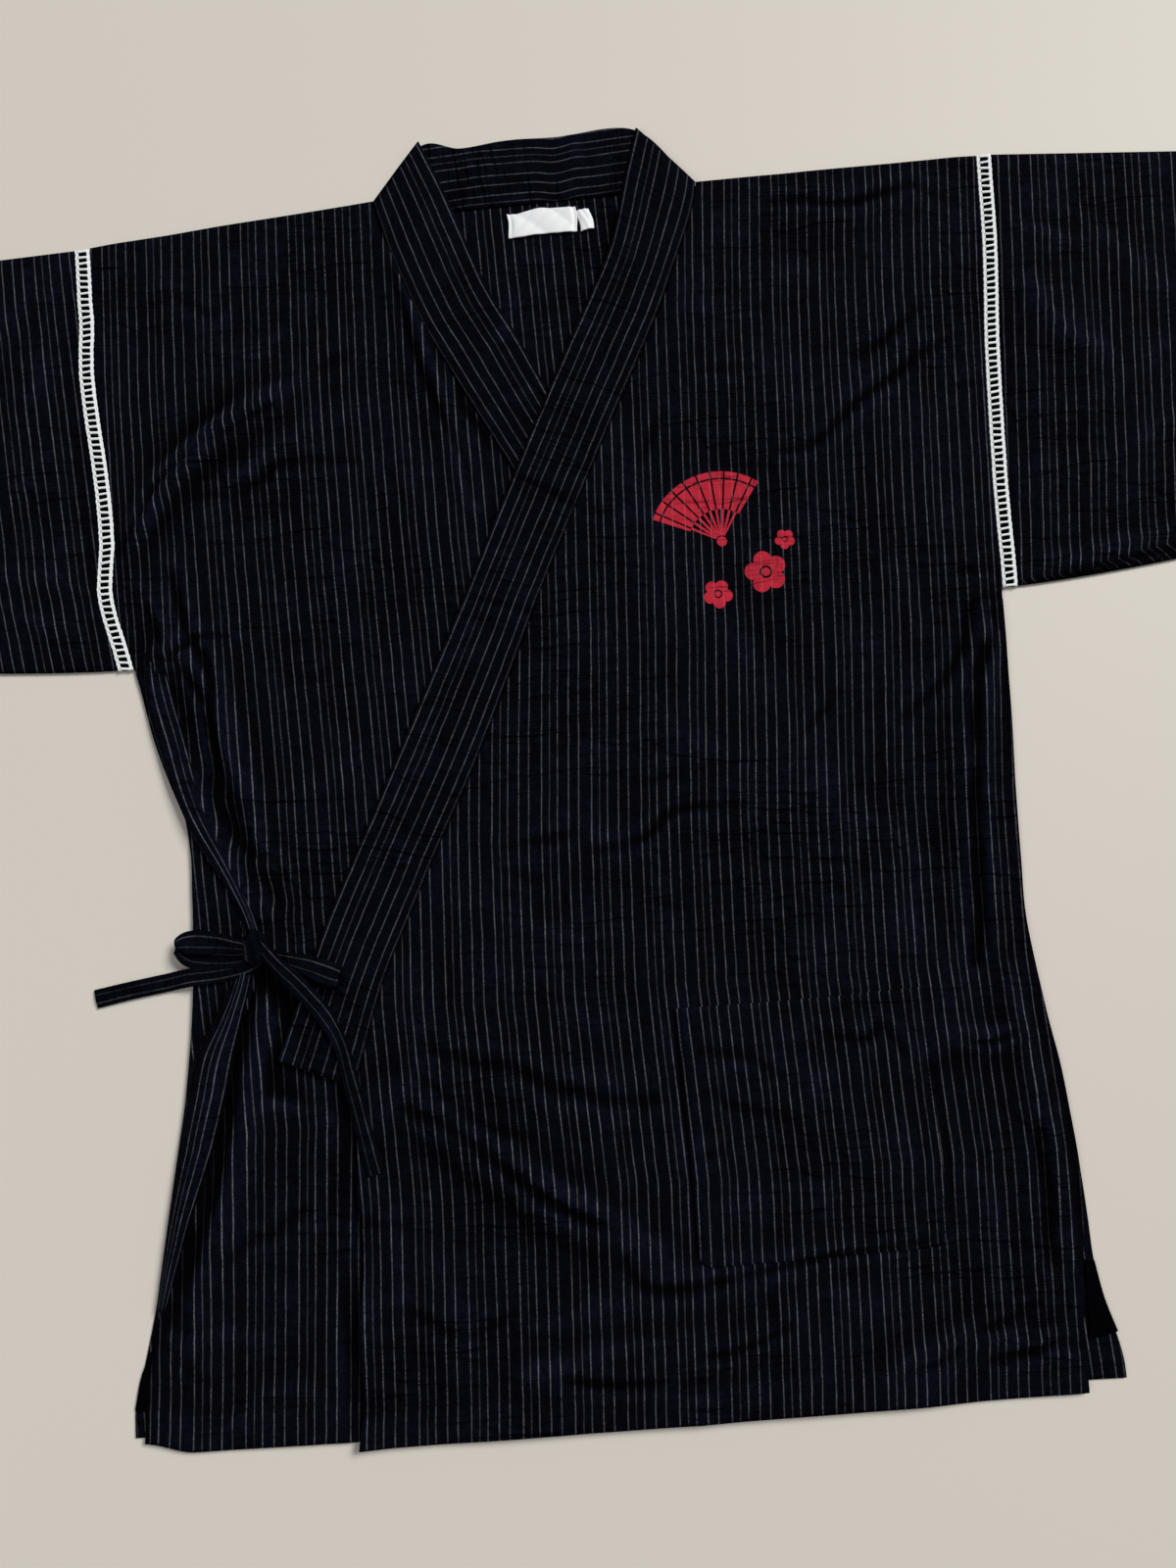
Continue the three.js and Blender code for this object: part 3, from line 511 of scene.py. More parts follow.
# How the stripes lean: the place of one woven line, in rows of y and x
BACK_LEAN = [(386, -6), (150, -2), (-100, 0), (-390, 9)]
back_x, back_y = spread(back_left, back_right, 4.1)
inner_neck = (np.abs(back_x - 5) < 90) & (back_y > 230)
back_z = COTTON_MIDDLE + np.abs(waves(back_x, back_y, 11, 0.12))
neck_folds = [
    ([(-20, 338), (0, 341), (22, 337)], 0.9, 3.0, 5.0),
    ([(-28, 300), (-8, 318), (16, 330)], 0.7, 4.0, 6.0),
    ([(40, 300), (34, 322), (38, 344)], 0.8, 4.0, 4.0),
]
back_z += np.where(inner_neck, creases(back_x, back_y, neck_folds), 0)
# A painted shadow inside the back neck, along the band's right side
neck_shadow = valleys(back_x, back_y, [([(50, 362), (46, 336), (36, 300), (20, 262)], 3.4, 4.6)])[1]
back_z += 0.35 * eased(back_y, -362, -368)

# Rows of the wrapped side: y, its outline, its edge on top, its line of sewing, how high it bulges
WRAP = [
    (10, -251.5, -247, -247.3, 0.1), (-8, -247, -238, -238.3, 0.1), (-30, -246, -229, -229.3, 0.1),
    (-50, -246.6, -220.5, -220.8, 0.1), (-66, -247, -216, -217, 0.2), (-85, -248, -211, -218, 1.2),
    (-105, -249, -212, -223.5, 3.0), (-128, -251, -218, -234, 5.2), (-152, -254, -224.5, -249, 6.6),
    (-180, -258.3, -232, -256, 7.2), (-208, -264, -241, -263, 6.8), (-250, -272.4, -258, -272, 5.4),
    (-298, -282, -275, -281, 2.6),
]
wrap_run = even([through([(row[k], row[0]) for row in WRAP]) for k in (1, 2, 3)], 2.4)
wrap_bulge = level([(row[0], row[4]) for row in WRAP], wrap_run[0][:, 1])
wrap_columns = 23
bend_columns = 4
wrap_x = np.zeros((len(wrap_bulge), wrap_columns))
wrap_z = np.zeros_like(wrap_x)
wrap_u = np.zeros_like(wrap_x)
wrap_y = np.repeat(wrap_run[0][:, 1:2], wrap_columns, axis=1)
outline, edge, strip = (run[:, 0] for run in wrap_run)
for j in range(wrap_columns):
    turn = min(j, bend_columns) / bend_columns
    share = max(j - bend_columns, 0) / (wrap_columns - bend_columns - 1)
    angle = math.pi * (1.5 - turn)
    wrap_x[:, j] = outline + 2.2 + 1.55 * math.cos(angle) + share * (edge - outline - 2.2)
    round_z = COTTON_MIDDLE + 1.6 + 1.6 * math.sin(angle)
    raised = np.clip((wrap_x[:, j] - strip) / (edge - strip), 0, 1)
    profile = np.sin(math.pi * raised**1.15) ** 0.75 + 0.42 * raised**4
    ripple = 0.30 * np.sin(wrap_y[:, j] / 7.5 + 2.2 * share) * math.sin(math.pi * share)
    wrap_z[:, j] = round_z + wrap_bulge * np.maximum(profile, 0) + ripple
    wrap_u[:, j] = -225 + 27 * raised
wrap_lean = level([(10, -2), (-85, 2), (-154, 6), (-300, 6)], wrap_y)
wrap_u = np.where(wrap_x < strip[:, None], wrap_x - wrap_lean, wrap_u)
# The turned-in edges of the two side slits lie above the hem corners, painted near black in full shade as
# the shadowed inside of each slit
facings = []
for inner, outer in (
    ([(274, -364.5), (276, -340), (277, -318)], [(292.2, -361), (286.6, -341), (283.2, -319)]),
    ([(-289.5, -357), (-285, -340), (-280, -322)], [(-297.6, -355), (-293, -336.5), (-285.5, -320.5)]),
):
    facing_x, facing_y = spread(inner, outer, 2.5)
    facings.append((facing_x, facing_y, 1.1 + 0 * facing_x, PLAIN_CUT + 0 * facing_x, facing_y, FULL_PAINTED_SHADE))
back = sheet_piece(
    "back_cloth", back_x, back_y, back_z, back_x - level(BACK_LEAN, back_y), back_y, COTTON_WALL,
    [(wrap_x, wrap_y, wrap_z, wrap_u, wrap_y, 0.0), *facings], neck_shadow,
)
finish_cloth(back, "back", body_cloth)

# The wearer's right front is one striped panel that lies under the other one.
# Its side is gathered into a rope that runs from the underarm down into the knot of the tie.
UNDER_BAND = 2.3
under_left = [
    (-292, -374), (-288, -340), (-280, -303), (-264, -250), (-248, -205), (-228, -150), (-210, -112),
    (-208, -84), (-222, -54), (-240, -22), (-253, 12), (-264, 44), (-272, 82), *left_arm_rows,
    (-289.2, 373),
]
under_right = [
    (155, -386), (156, -350), (156, -300), (156, -250), (155, -205), (147, -160), (130, -113), (114, -80),
    (101, -52), (85, -22), (67, 12), (51, 44), (34, 80), (12, 126), (-12, 172), (-39, 226), (-62, 272),
    (-79, 308), (-92, 346), (-102, 389),
]
# Rows of a band: x and y of its sewn edge, then x and y of its folded edge
upper_band_rows = [
    (107.3, 384, 73, 424), (102.3, 364, 64, 396), (87.3, 327, 50, 348), (73.3, 295, 33, 312),
    (56.3, 262, 16, 280), (37.3, 226, -4, 241), (10.3, 173, -30, 189), (-15.7, 122, -57, 134),
    (-40.7, 68, -84, 80), (-66.7, 14, -111, 27), (-91.7, -33, -136, -22), (-115.7, -80, -160, -68),
    (-133.7, -117, -177, -106), (-154.7, -176, -199, -157),
]
under_band_rows = [
    (-101.3, 389, -70, 427), (-96.3, 368, -58, 397), (-90.3, 346, -48, 368), (-77.3, 308, -32, 322),
    (-60.3, 272, -14, 285), (-37.3, 226, 4, 243), (-10.3, 173, 30, 189), (15.7, 122, 57, 134),
    (40.7, 68, 84, 80), (66.7, 14, 111, 27), (91.7, -33, 136, -22), (115.7, -80, 160, -68),
    (133.7, -117, 177, -106), (154.7, -176, 199, -157),
]
# Free edge of each band, and of the front's own edge below it, in rows of y and x
UPPER_FREE = [(row[3], row[2]) for row in upper_band_rows] + [(-177, -199), (-192, -162), (-400, -166)]
UNDER_FREE = [(row[3], row[2]) for row in under_band_rows] + [(-176, 200), (-196, 160), (-400, 160)]
UNDER_LEAN = [
    (390, -190), (266, -193.6), (160, -193.1), (10, -189.2), (-198, -188.4), (-328, -197.7), (-390, -202),
]
under_x, under_y = spread(under_left, under_right, 3.1)
hem_sag = 6.5 * eased(under_x, -293, -262) * (1 - eased(under_x, -150, 0))
under_y = under_y - hem_sag * (1 - eased(under_y, -374, -322))
edge_run = through(under_left)
under_edge = np.interp(under_y, edge_run[:, 1], edge_run[:, 0])
inside = under_x - under_edge
seen = level(UPPER_FREE, under_y) - under_x
# Folds are a path, a height and a half width on each side; hollows are a path, a depth and a half width,
# and each also paints a shadow along its path
under_folds = [
    ([(-262, 84), (-254, 56), (-246, 30), (-234, -4), (-220, -38), (-210, -62)], 2.0, 6.0, 7.0),
    ([(-230, 78), (-221, 44), (-212, 14), (-204, -20)], 3.4, 12.0, 4.5),
    ([(-244, 90), (-236, 60), (-229, 36)], 1.8, 4.0, 5.0),
    ([(-262, 104), (-249, 98), (-232, 86)], 2.6, 5.0, 7.0),
    ([(-268, 146), (-252, 110), (-262, 90)], 2.2, 5.0, 6.0),
    ([(-253, 136), (-240, 112), (-232, 92)], 1.6, 6.0, 8.0),
    ([(-222, 92), (-214, 60), (-205, 22), (-200, -22)], 1.7, 6.0, 9.0),
    ([(-201, 251), (-216, 237), (-233, 219), (-253, 197), (-269, 174)], 3.2, 5.0, 9.0),
    ([(-206, 262), (-226, 246), (-250, 226)], -1.2, 6.0, 6.0),
    ([(-151, 277), (-190, 255), (-233, 228), (-268, 180)], 2.4, 5.0, 10.0),
    ([(-120, 250), (-160, 238), (-196, 214), (-226, 186)], 1.2, 8.0, 12.0),
    ([(-94, 355), (-82, 310), (-75, 277), (-66, 238), (-52, 170)], 3.0, 7.0, 6.0),
    ([(-112, 350), (-100, 300), (-92, 262)], -1.1, 8.0, 8.0),
    ([(-150, 330), (-170, 300), (-205, 285)], 1.1, 8.0, 12.0),
    ([(-240, 350), (-236, 320), (-246, 290)], 1.0, 8.0, 10.0),
    ([(-208, -10), (-202, -22), (-203, -36)], 1.5, 3.0, 3.0),
    ([(-200, -18), (-194, -32), (-196, -46)], 1.4, 3.0, 3.5),
    ([(-206, -44), (-200, -56), (-201, -68)], 1.4, 3.0, 3.0),
    ([(-190, -30), (-184, -46), (-187, -60)], 1.1, 4.0, 4.0),
    ([(-176, -96), (-186, -140), (-192, -186)], 1.6, 6.0, 9.0),
    ([(-206, -128), (-212, -152), (-221, -185),
      (-229, -214), (-241, -252), (-256, -294)], 4.0, 24.0, 7.0),
    ([(-176, -210), (-182, -250), (-200, -300)], 1.2, 7.0, 9.0),
    ([(-268, -322), (-250, -316), (-226, -318)], 1.2, 5.0, 7.0),
    ([(-240, -368), (-216, -352), (-190, -356)], 1.1, 6.0, 8.0),
    ([(-201, -346), (-190, -352), (-181, -362)], 0.9, 3.0, 4.0),
    ([(-120, 160), (-150, 130), (-188, 112)], 0.8, 9.0, 12.0),
    ([(-130, 30), (-160, 10), (-190, 4)], 0.8, 8.0, 10.0),
]
under_hollows = [
    ([(-281, 168), (-266, 188), (-251, 210), (-228, 230), (-202, 245), (-179, 257)], 4.0, 3.4),
    ([(-181, 272), (-162, 275), (-142, 280), (-127, 288)], 1.6, 5.0),
    ([(-229, 200), (-201, 201), (-185, 209), (-178, 216), (-153, 218), (-128, 215)], 2.2, 4.4),
    ([(-94, 341), (-83, 284), (-77, 263), (-69, 240), (-59, 213), (-52, 183)], 3.0, 3.6),
    ([(-56, 272), (-55, 248), (-46, 231), (-40, 216)], 2.4, 3.4),
    ([(-247, 150), (-241, 118), (-231, 96), (-226, 74), (-226, 34)], 3.8, 3.8),
    ([(-268, 90), (-250, 98), (-231, 109), (-214, 108)], 2.8, 3.0),
    ([(-250, 98), (-237, 79), (-226, 60)], 3.0, 3.2),
    ([(-264, 131), (-258, 113)], 2.0, 2.8),
    ([(-260, 325), (-238, 334), (-222, 327), (-210, 321), (-201, 335)], 1.3, 4.2),
    ([(-104, 203), (-97, 186)], 1.3, 4.0),
    ([(-182, 76), (-165, 78), (-149, 80)], 1.1, 4.0),
    ([(-229, 56), (-226, 32), (-225, 12)], 3.6, 3.8),
    ([(-221, -6), (-210, -27), (-196, -33)], 2.0, 3.0),
    ([(-206, -151), (-186, -163), (-170, -171)], 1.6, 2.2),
    ([(-230, -155), (-214, -162), (-199, -171), (-186, -181)], 1.1, 3.4),
    ([(-216, -126), (-225, -158), (-232, -188), (-239, -216), (-246, -238)], 4.5, 6.6),
    ([(-238, -214), (-248, -244), (-260, -272), (-274, -306)], 3.0, 7.0),
    # Painted cast shadow below the knot
    ([(-207, -92), (-203, -104), (-196, -122), (-187, -140)], 4.6, 7.0),
    ([(-252, -273), (-240, -274), (-221, -262), (-211, -261), (-188, -246), (-165, -242)], 1.4, 4.4),
    ([(-281, -314), (-262, -334), (-249, -345)], 1.7, 3.4),
    # Painted cast shadows along the lapped front's left edge and beside the tie's second tail
    ([(-166, -292), (-166, -330), (-167, -374)], 3.6, 3.6),
    ([(-163, -170), (-161, -197), (-161, -224)], 4.0, 3.6),
]
ROPE_LIFT = [(40, 0), (14, 3.4), (-62, 3.4), (-76, 0), (-400, 0)]
lift = np.clip(level(ROPE_LIFT, under_y), 0, None) * (1 - eased(inside, 11, 26))
arm_side = np.where(under_y > 88, eased(under_x - level(ARM_LEFT, under_y), 0, 16), 1)
fold_rise = 1.3 * creases(under_x, under_y, under_folds) * arm_side * eased(inside, -3, 10)
fold_rise = fold_rise * eased(seen, 1, 18)
swell = np.abs(waves(under_x, under_y, 21, 0.30)) * arm_side
# Banks of the hollows, and the painted shadow along them
under_banks, under_shadow = valleys(under_x, under_y, under_hollows)
fold_rise = fold_rise + under_banks * arm_side * eased(inside, -3, 10) * eased(seen, 1, 12)
under_z = LAYER + COTTON_MIDDLE + np.maximum(lift, 0) + np.maximum(fold_rise + swell, 0)
hem_line = under_y - mixed(0, -6.5, eased(under_x, -293, -262))
under_z += 0.55 * (1 - eased(hem_line, -355.5, -353.5)) * eased(inside, -1, 3)
ripples = 1.5 * np.sin(under_y / 7.0 + 0.6) * mound(inside - 26, 10)
ripples = ripples * eased(under_y, -84, -60) * (1 - eased(under_y, 10, 50))
lean_in = -0.16 * np.clip(40 - inside, 0, 40) * eased(under_y, 60, 130)
under_u = under_x - level(UNDER_LEAN, under_y) + ripples + lean_in * 0.5

# Points of the rope: x, y, z, its width and its height
ROPE = [
    (-262, 112, 2.4, 9, 0.3), (-261, 90, 2.6, 14, 2.6), (-258, 64, 2.8, 17, 4.2),
    (-251.5, 36, 3.2, 16.5, 5.2), (-243.5, 8, 4.6, 15, 5.4), (-236, -14, 4.9, 13, 5.2),
    (-227.5, -32, 4.9, 10, 4.8), (-219, -50, 4.9, 8, 4.4), (-212, -66, 5.2, 6.5, 4.0),
    (-208, -80, 6.2, 6, 3.4),
]
ROPE_STEP = 1.8
rope_run = even([through(ROPE)], ROPE_STEP)[0]
rope_along = np.gradient(rope_run[:, :2], axis=0)
rope_along /= np.linalg.norm(rope_along, axis=1)[:, None]
rope_aside = np.column_stack([-rope_along[:, 1], rope_along[:, 0]])
rope_columns = 21
rope_turn = np.linspace(-0.62, 0.62, rope_columns) * math.pi
rope_walk = np.arange(len(rope_run))[:, None] * ROPE_STEP
rope_dent = 1 - 0.16 * mound(rope_turn[None, :] - 0.25 - 0.25 * np.sin(rope_walk / 30), 0.28)
rope_sweep = rope_run[:, 3:4] / 2 * np.sin(rope_turn)[None, :]
rope_x = rope_run[:, 0:1] + rope_aside[:, 0:1] * rope_sweep
rope_y = rope_run[:, 1:2] + rope_aside[:, 1:2] * rope_sweep
rope_z = rope_run[:, 2:3] + rope_run[:, 4:5] * np.cos(rope_turn)[None, :] * rope_dent
rope_u = -200 + 31 * np.linspace(0, 1, rope_columns)[None, :] + 0.7 * np.sin(rope_walk / 14)


def seam_allowance(middle_rows):
    """The pressed seam turnings of black cloth under the lace, painted near black as the shade seen
    through its slots.
    """
    left = [(middle - 4.5, y) for y, middle in middle_rows][::-1]
    right = [(middle + 5.5, y) for y, middle in middle_rows][::-1]
    x, y = spread(left, right, 2.5)
    return x, y, LAYER + 0 * x, PLAIN_CUT + 0 * x, y, FULL_PAINTED_SHADE


front_right = sheet_piece(
    "front_right_cloth", under_x, under_y, under_z, under_u, under_y, COTTON_WALL,
    [(rope_x, rope_y, rope_z, rope_u, rope_y, 0.0), seam_allowance(LACE_LEFT)], under_shadow,
)
finish_cloth(
    front_right, "front_right", body_cloth,
)

# The wearer's left front laps over the other and reaches the viewer's right side seam.
# It carries a print on the chest, a folding fan with three blossoms, in crimson ink.
OVER_BAND = 4.7
upper_left = [
    (-164, -388), (-162, -362), (-158, -308), (-155, -259), (-155, -214), (-153, -178), (-132, -117),
    (-114, -80), (-90, -33), (-65, 14), (-39, 68), (-14, 122), (12, 173), (39, 226), (58, 262), (75, 295),
    (89, 327), (104, 364), (109, 384),
]
upper_right = [
    (270, -394), (271, -366), (275, -325), (281, -270), (277, -206), (272, -165), (267, -113), (268, -76),
    (270, -33), (273, 14), (275, 62), (276.3, 92), *right_arm_rows, (294.2, 386),
]
UPPER_LEAN = [
    (390, 128), (299, 120), (202, 114.1), (82, 106.7), (-34, 96.7), (-133, 92.1), (-250, 95.1),
    (-363, 89.2), (-394, 87),
]
upper_folds = [
    ([(-108, -193), (-76, -222), (-41, -247), (-8, -268), (23, -288)], 2.8, 6.0, 11.0),
    ([(-128, -200), (-96, -232), (-60, -262), (-22, -290)], -1.2, 7.0, 9.0),
    ([(-60, -330), (-20, -318), (20, -326)], 1.2, 8.0, 12.0),
    ([(-63, -352), (-30, -347), (10, -343), (52, -340)], 2.0, 6.0, 7.0),
    ([(10, -352), (34, -354), (57, -356)], 1.5, 4.0, 5.0),
    ([(-63, -355), (-50, -357), (-38, -357)], 1.3, 3.0, 4.0),
    ([(155, -371), (176, -360), (199, -356), (226, -358), (256, -363)], 2.0, 5.0, 8.0),
    ([(218, -180), (238, -181), (257, -181)], 1.6, 4.0, 5.0),
    ([(264, 72), (259, 48), (256, 27), (250, 4), (243, -20), (239, -62)], 2.9, 7.0, 6.0),
    ([(252, -148), (256, -178), (259, -208), (264, -238), (267, -267), (269, -314)], 2.6, 7.0, 5.0),
    ([(140, 310), (160, 315), (179, 317)], 1.4, 8.0, 12.0),
    ([(120, 250), (160, 230), (206, 236)], 0.9, 12.0, 16.0),
    ([(200, 130), (216, 96), (222, 60)], 1.0, 9.0, 12.0),
    ([(30, 60), (60, 20), (110, 4)], 1.0, 11.0, 15.0),
    ([(-70, -70), (-30, -92), (20, -98)], 1.1, 9.0, 13.0),
    ([(-20, -20), (30, -50), (90, -60)], 0.8, 12.0, 14.0),
    ([(150, -20), (190, -52), (222, -96)], 1.0, 10.0, 13.0),
    ([(-140, -240), (-134, -290), (-140, -340)], 1.3, 6.0, 8.0),
    ([(-110, -290), (-98, -320), (-104, -356)], 1.0, 7.0, 9.0),
    ([(214, -250), (226, -290), (222, -330)], 1.0, 8.0, 10.0),
    ([(96, -330), (120, -322), (146, -330)], 0.9, 7.0, 9.0),
]
upper_hollows = [
    ([(-123, -192), (-97, -205), (-79, -221), (-61, -236),
      (-44, -251), (-26, -262), (-12, -270)], 4.4, 5.2),
    ([(-68, -230), (-50, -246), (-32, -259), (-14, -268), (4, -274)], 3.0, 4.0),
    ([(-112, -175), (-90, -196), (-72, -209), (-49, -215)], 2.2, 3.6),
    ([(-105, -157), (-81, -168), (-56, -174), (-35, -187),
      (-17, -192), (-1, -198), (25, -200)], 2.8, 5.4),
    ([(-158, -256), (-139, -261), (-125, -261)], 1.5, 3.4),
    ([(0, -294), (11, -309), (32, -313), (59, -310)], 2.8, 4.6),
    ([(41, -150), (45, -177), (46, -221), (46, -258), (48, -284)], 1.1, 3.0),
    ([(54, -310), (96, -305), (121, -301), (147, -299), (187, -296)], 2.6, 2.8),
    ([(197, -192), (201, -228), (201, -271), (201, -292)], 1.8, 3.0),
    ([(128, -168), (145, -173), (160, -175), (168, -167), (176, -176), (184, -191)], 2.2, 3.2),
    ([(219, -180), (230, -184), (243, -182), (254, -179)], 3.6, 2.6),
    ([(60, -175), (83, -179), (98, -188), (117, -199)], 1.6, 4.2),
    ([(60, -199), (80, -210), (110, -218)], 1.9, 4.4),
    ([(48, -237), (66, -235)], 1.5, 3.4),
    ([(259, 62), (254, 34), (249, 4), (243, -31), (240, -70), (238, -108), (233, -134)], 5.0, 4.6),
    ([(268, -212), (259, -246), (260, -276), (256, -304), (258, -316)], 2.8, 4.2),
    ([(-47, -39), (-29, -38), (-5, -36)], 1.9, 4.0),
    ([(-48, -57), (-30, -63)], 1.3, 4.0),
    ([(-2, -47), (19, -46), (39, -40), (53, -28), (73, -25), (97, -28)], 2.4, 4.0),
    ([(33, -7), (63, -4)], 1.3, 4.0),
    ([(-145, -314), (-130, -312), (-115, -320), (-106, -326), (-88, -327), (-67, -315)], 2.0, 4.0),
    ([(-58, -354), (-31, -360), (-7, -364), (19, -364)], 2.8, 3.2),
    ([(14, -357), (35, -354), (54, -352), (73, -348), (97, -339)], 2.5, 3.0),
    ([(158, -374), (183, -367), (203, -356), (229, -347), (247, -338)], 1.9, 3.6),
    ([(215, -370), (239, -367), (255, -363), (272, -368)], 2.8, 3.2),
    ([(34, -381), (46, -383)], 2.2, 3.0),
    ([(85, -320), (89, -341)], 1.3, 4.0),
    ([(157, 366), (181, 364), (203, 360), (230, 365), (250, 370)], 3.0, 4.0),
    ([(250, 369), (262, 362), (276, 355)], 2.0, 4.0),
    ([(199, 257), (218, 264), (232, 276), (245, 287)], 2.3, 4.4),
    ([(146, 198), (167, 201), (184, 214), (202, 229), (222, 240), (243, 255), (265, 264)], 2.6, 4.0),
    ([(102, 256), (134, 255)], 1.8, 3.6),
    ([(260, 230), (277, 232)], 1.7, 3.6),
    ([(202, 18), (231, 40), (246, 61), (255, 86), (270, 95)], 2.3, 4.2),
    ([(252, 42), (260, 54), (268, 72), (270, 88)], 3.2, 4.0),
    ([(249, 110), (273, 113)], 1.7, 3.6),
    ([(55, 196), (64, 215), (73, 232)], 1.4, 3.6),
    ([(141, 15), (155, 28), (167, 39)], 1.6, 3.6),
    ([(17, 171), (34, 165)], 1.6, 3.6),
]
upper_x, upper_y = spread(upper_left, upper_right, 3.0)
edge_sway = 1.3 * np.sin(upper_y / 12.0) * (1 - eased(upper_y, -230, -200))
from_edge = upper_x - level([(-170, -153), (-400, -165)], upper_y)
upper_x = upper_x + edge_sway * (1 - eased(from_edge, 0, 18))
left_run = through(upper_left)
right_run = through(upper_right)
from_left = upper_x - np.interp(upper_y, left_run[:, 1], left_run[:, 0])
from_right = np.interp(upper_y, right_run[:, 1], right_run[:, 0]) - upper_x


def upper_height(x, y, left_gap, right_gap):
    """Height of the lapped front's middle, from the gaps to its two side edges."""
    past = x - level(UNDER_FREE, y)
    rest = mixed(OVER_BAND, LAYER, eased(past, 8, 52))
    loose = (1 - eased(left_gap, 30, 120)) * (1 - eased(y, -220, -178))
    rest = rest - 1.1 * loose
    side = np.where(y > 90, eased(right_gap, 0, 16), eased(right_gap, -6, 9))
    seam = eased(left_gap, 0, 12) + (y < -178)
    banks = valleys(x, y, upper_hollows)[0]
    rise = (1.35 * creases(x, y, upper_folds) + banks) * side * np.clip(seam, 0, 1)
    swell = np.abs(waves(x, y, 33, 0.34)) * side
    lifted = (1 - eased(y, -250, -205)) * (0.55 + 0.45 * np.sin(y / 17.0 + 1.2))
    free_edge = 3.4 * lifted * (1 - eased(left_gap, 0, 22)) + 1.1 * lifted * (1 - eased(left_gap, 0, 5))
    return rest + COTTON_MIDDLE + np.maximum(rise + swell, 0) + free_edge


upper_z = upper_height(upper_x, upper_y, from_left, from_right)
upper_z += 0.55 * (1 - eased(upper_y, -371, -369))
upper_u = upper_x - level(UPPER_LEAN, upper_y)

printed_cloth, print_tree, print_shader, print_base = striped_look("printed cotton", BODY_THREAD)
place_node = print_tree.nodes.new("ShaderNodeTexCoord")
place_parts = print_tree.nodes.new("ShaderNodeSeparateXYZ")
link(print_tree, place_node.outputs["Object"], place_parts.inputs["Vector"])
PRINT_X, PRINT_Y = 108.5, 142.0


def print_plane(tree, x, y, turn=0.0):
    """Place on the cloth in millimetres from a motif's own centre, turned by an angle."""
    across = calculate(tree, "MULTIPLY_ADD", place_parts.outputs["X"], 1000.0, MIDDLE[0] - PRINT_X - x)
    up = calculate(tree, "MULTIPLY_ADD", place_parts.outputs["Y"], 1000.0, MIDDLE[1] - PRINT_Y - y)
    c, n = math.cos(turn), math.sin(turn)
    turned_x = calculate(tree, "MULTIPLY_ADD", across, c, times(tree, up, n))
    turned_y = calculate(tree, "MULTIPLY_ADD", up, c, times(tree, across, -n))
    return turned_x, turned_y


def polar(tree, x, y):
    squares = calculate(tree, "MULTIPLY_ADD", x, x, times(tree, y, y))
    return calculate(tree, "SQRT", squares), calculate(tree, "ARCTAN2", x, y)


def between(tree, value, low, high, soft):
    first = remap(tree, value, low - soft, low + soft, 0.0, 1.0)
    second = remap(tree, value, high - soft, high + soft, 1.0, 0.0)
    return times(tree, first, second)


def under(tree, value, limit, soft):
    return remap(tree, value, limit - soft, limit + soft, 1.0, 0.0)


def open_fan(tree, x, y, turn, leaf_radius, ribs, half_open):
    """An open folding fan: pleated leaf with a rim line, sticks below it and a round rivet."""
    radius, angle = polar(tree, *print_plane(tree, x, y, turn))
    opening = calculate(tree, "ABSOLUTE", angle)
    phase = calculate(tree, "MULTIPLY_ADD", angle, ribs / (2 * half_open), ribs * 4 + 0.5 * (ribs % 2))
    phase = calculate(tree, "FRACT", phase)
    away = calculate(tree, "ABSOLUTE", calculate(tree, "SUBTRACT", phase, 0.5))
    away = times(tree, times(tree, away, 2 * half_open / ribs), radius)
    leaf_foot = leaf_radius * 0.46
    leaf = between(tree, radius, leaf_foot, leaf_radius, 0.4)
    leaf = times(tree, leaf, under(tree, opening, half_open, 0.01))
    rim = between(tree, radius, leaf_radius * 0.885, leaf_radius * 0.91, 0.3)
    pleats = calculate(tree, "MAXIMUM", under(tree, away, 0.6, 0.3), rim)
    leaf = times(tree, leaf, calculate(tree, "SUBTRACT", 1.0, pleats))
    sticks = times(tree, between(tree, radius, 4, leaf_foot, 0.3), under(tree, away, 0.75, 0.3))
    sticks = times(tree, sticks, under(tree, opening, half_open - 0.06, 0.01))
    rivet = under(tree, radius, 3.2, 0.35)
    return calculate(tree, "MAXIMUM", leaf, calculate(tree, "MAXIMUM", sticks, rivet))


def blossom(tree, x, y, turn, size):
    """A five-petalled blossom with a bare ring and a dot at its heart."""
    radius, angle = polar(tree, *print_plane(tree, x, y, turn))
    wave = calculate(tree, "COSINE", times(tree, angle, 2.5))
    wave = calculate(tree, "POWER", calculate(tree, "ABSOLUTE", wave), 0.6)
    edge = calculate(tree, "MULTIPLY_ADD", wave, size * 0.34, size * 0.66)
    petals = under(tree, calculate(tree, "SUBTRACT", radius, edge), 0.0, 0.35)
    ring = between(tree, radius, size * 0.20, size * 0.30, 0.3)
    return times(tree, petals, calculate(tree, "SUBTRACT", 1.0, ring))


FAN_RADIUS, FAN_RIBS = 46, 9
motifs = open_fan(print_tree, -6, 0, math.radians(16), FAN_RADIUS, FAN_RIBS, math.radians(52))
for x, y, turn, size in ((20, -22, 0.2, 13.5), (-12, -34, 0.7, 9.5), (34, -2, 0.5, 6.5)):
    motifs = calculate(print_tree, "MAXIMUM", motifs, blossom(print_tree, x, y, turn, size))
grain = noise(print_tree, place_node.outputs["Object"], 700, 3.0, 0.7)
ink = times(print_tree, motifs, remap(print_tree, grain, 0.22, 0.40, 0.60, 0.97))
ink_shade = group_node(print_tree, stripes, print_tree.nodes["cut map"].outputs["UV"]).outputs["Lines"]
ink_colour = mixed_colour(print_tree, ink_shade, (0.40, 0.020, 0.036, 1), (0.50, 0.045, 0.065, 1))
printed = mixed_colour(print_tree, ink, print_base, ink_colour)
link(print_tree, printed, print_shader.inputs["Base Color"])

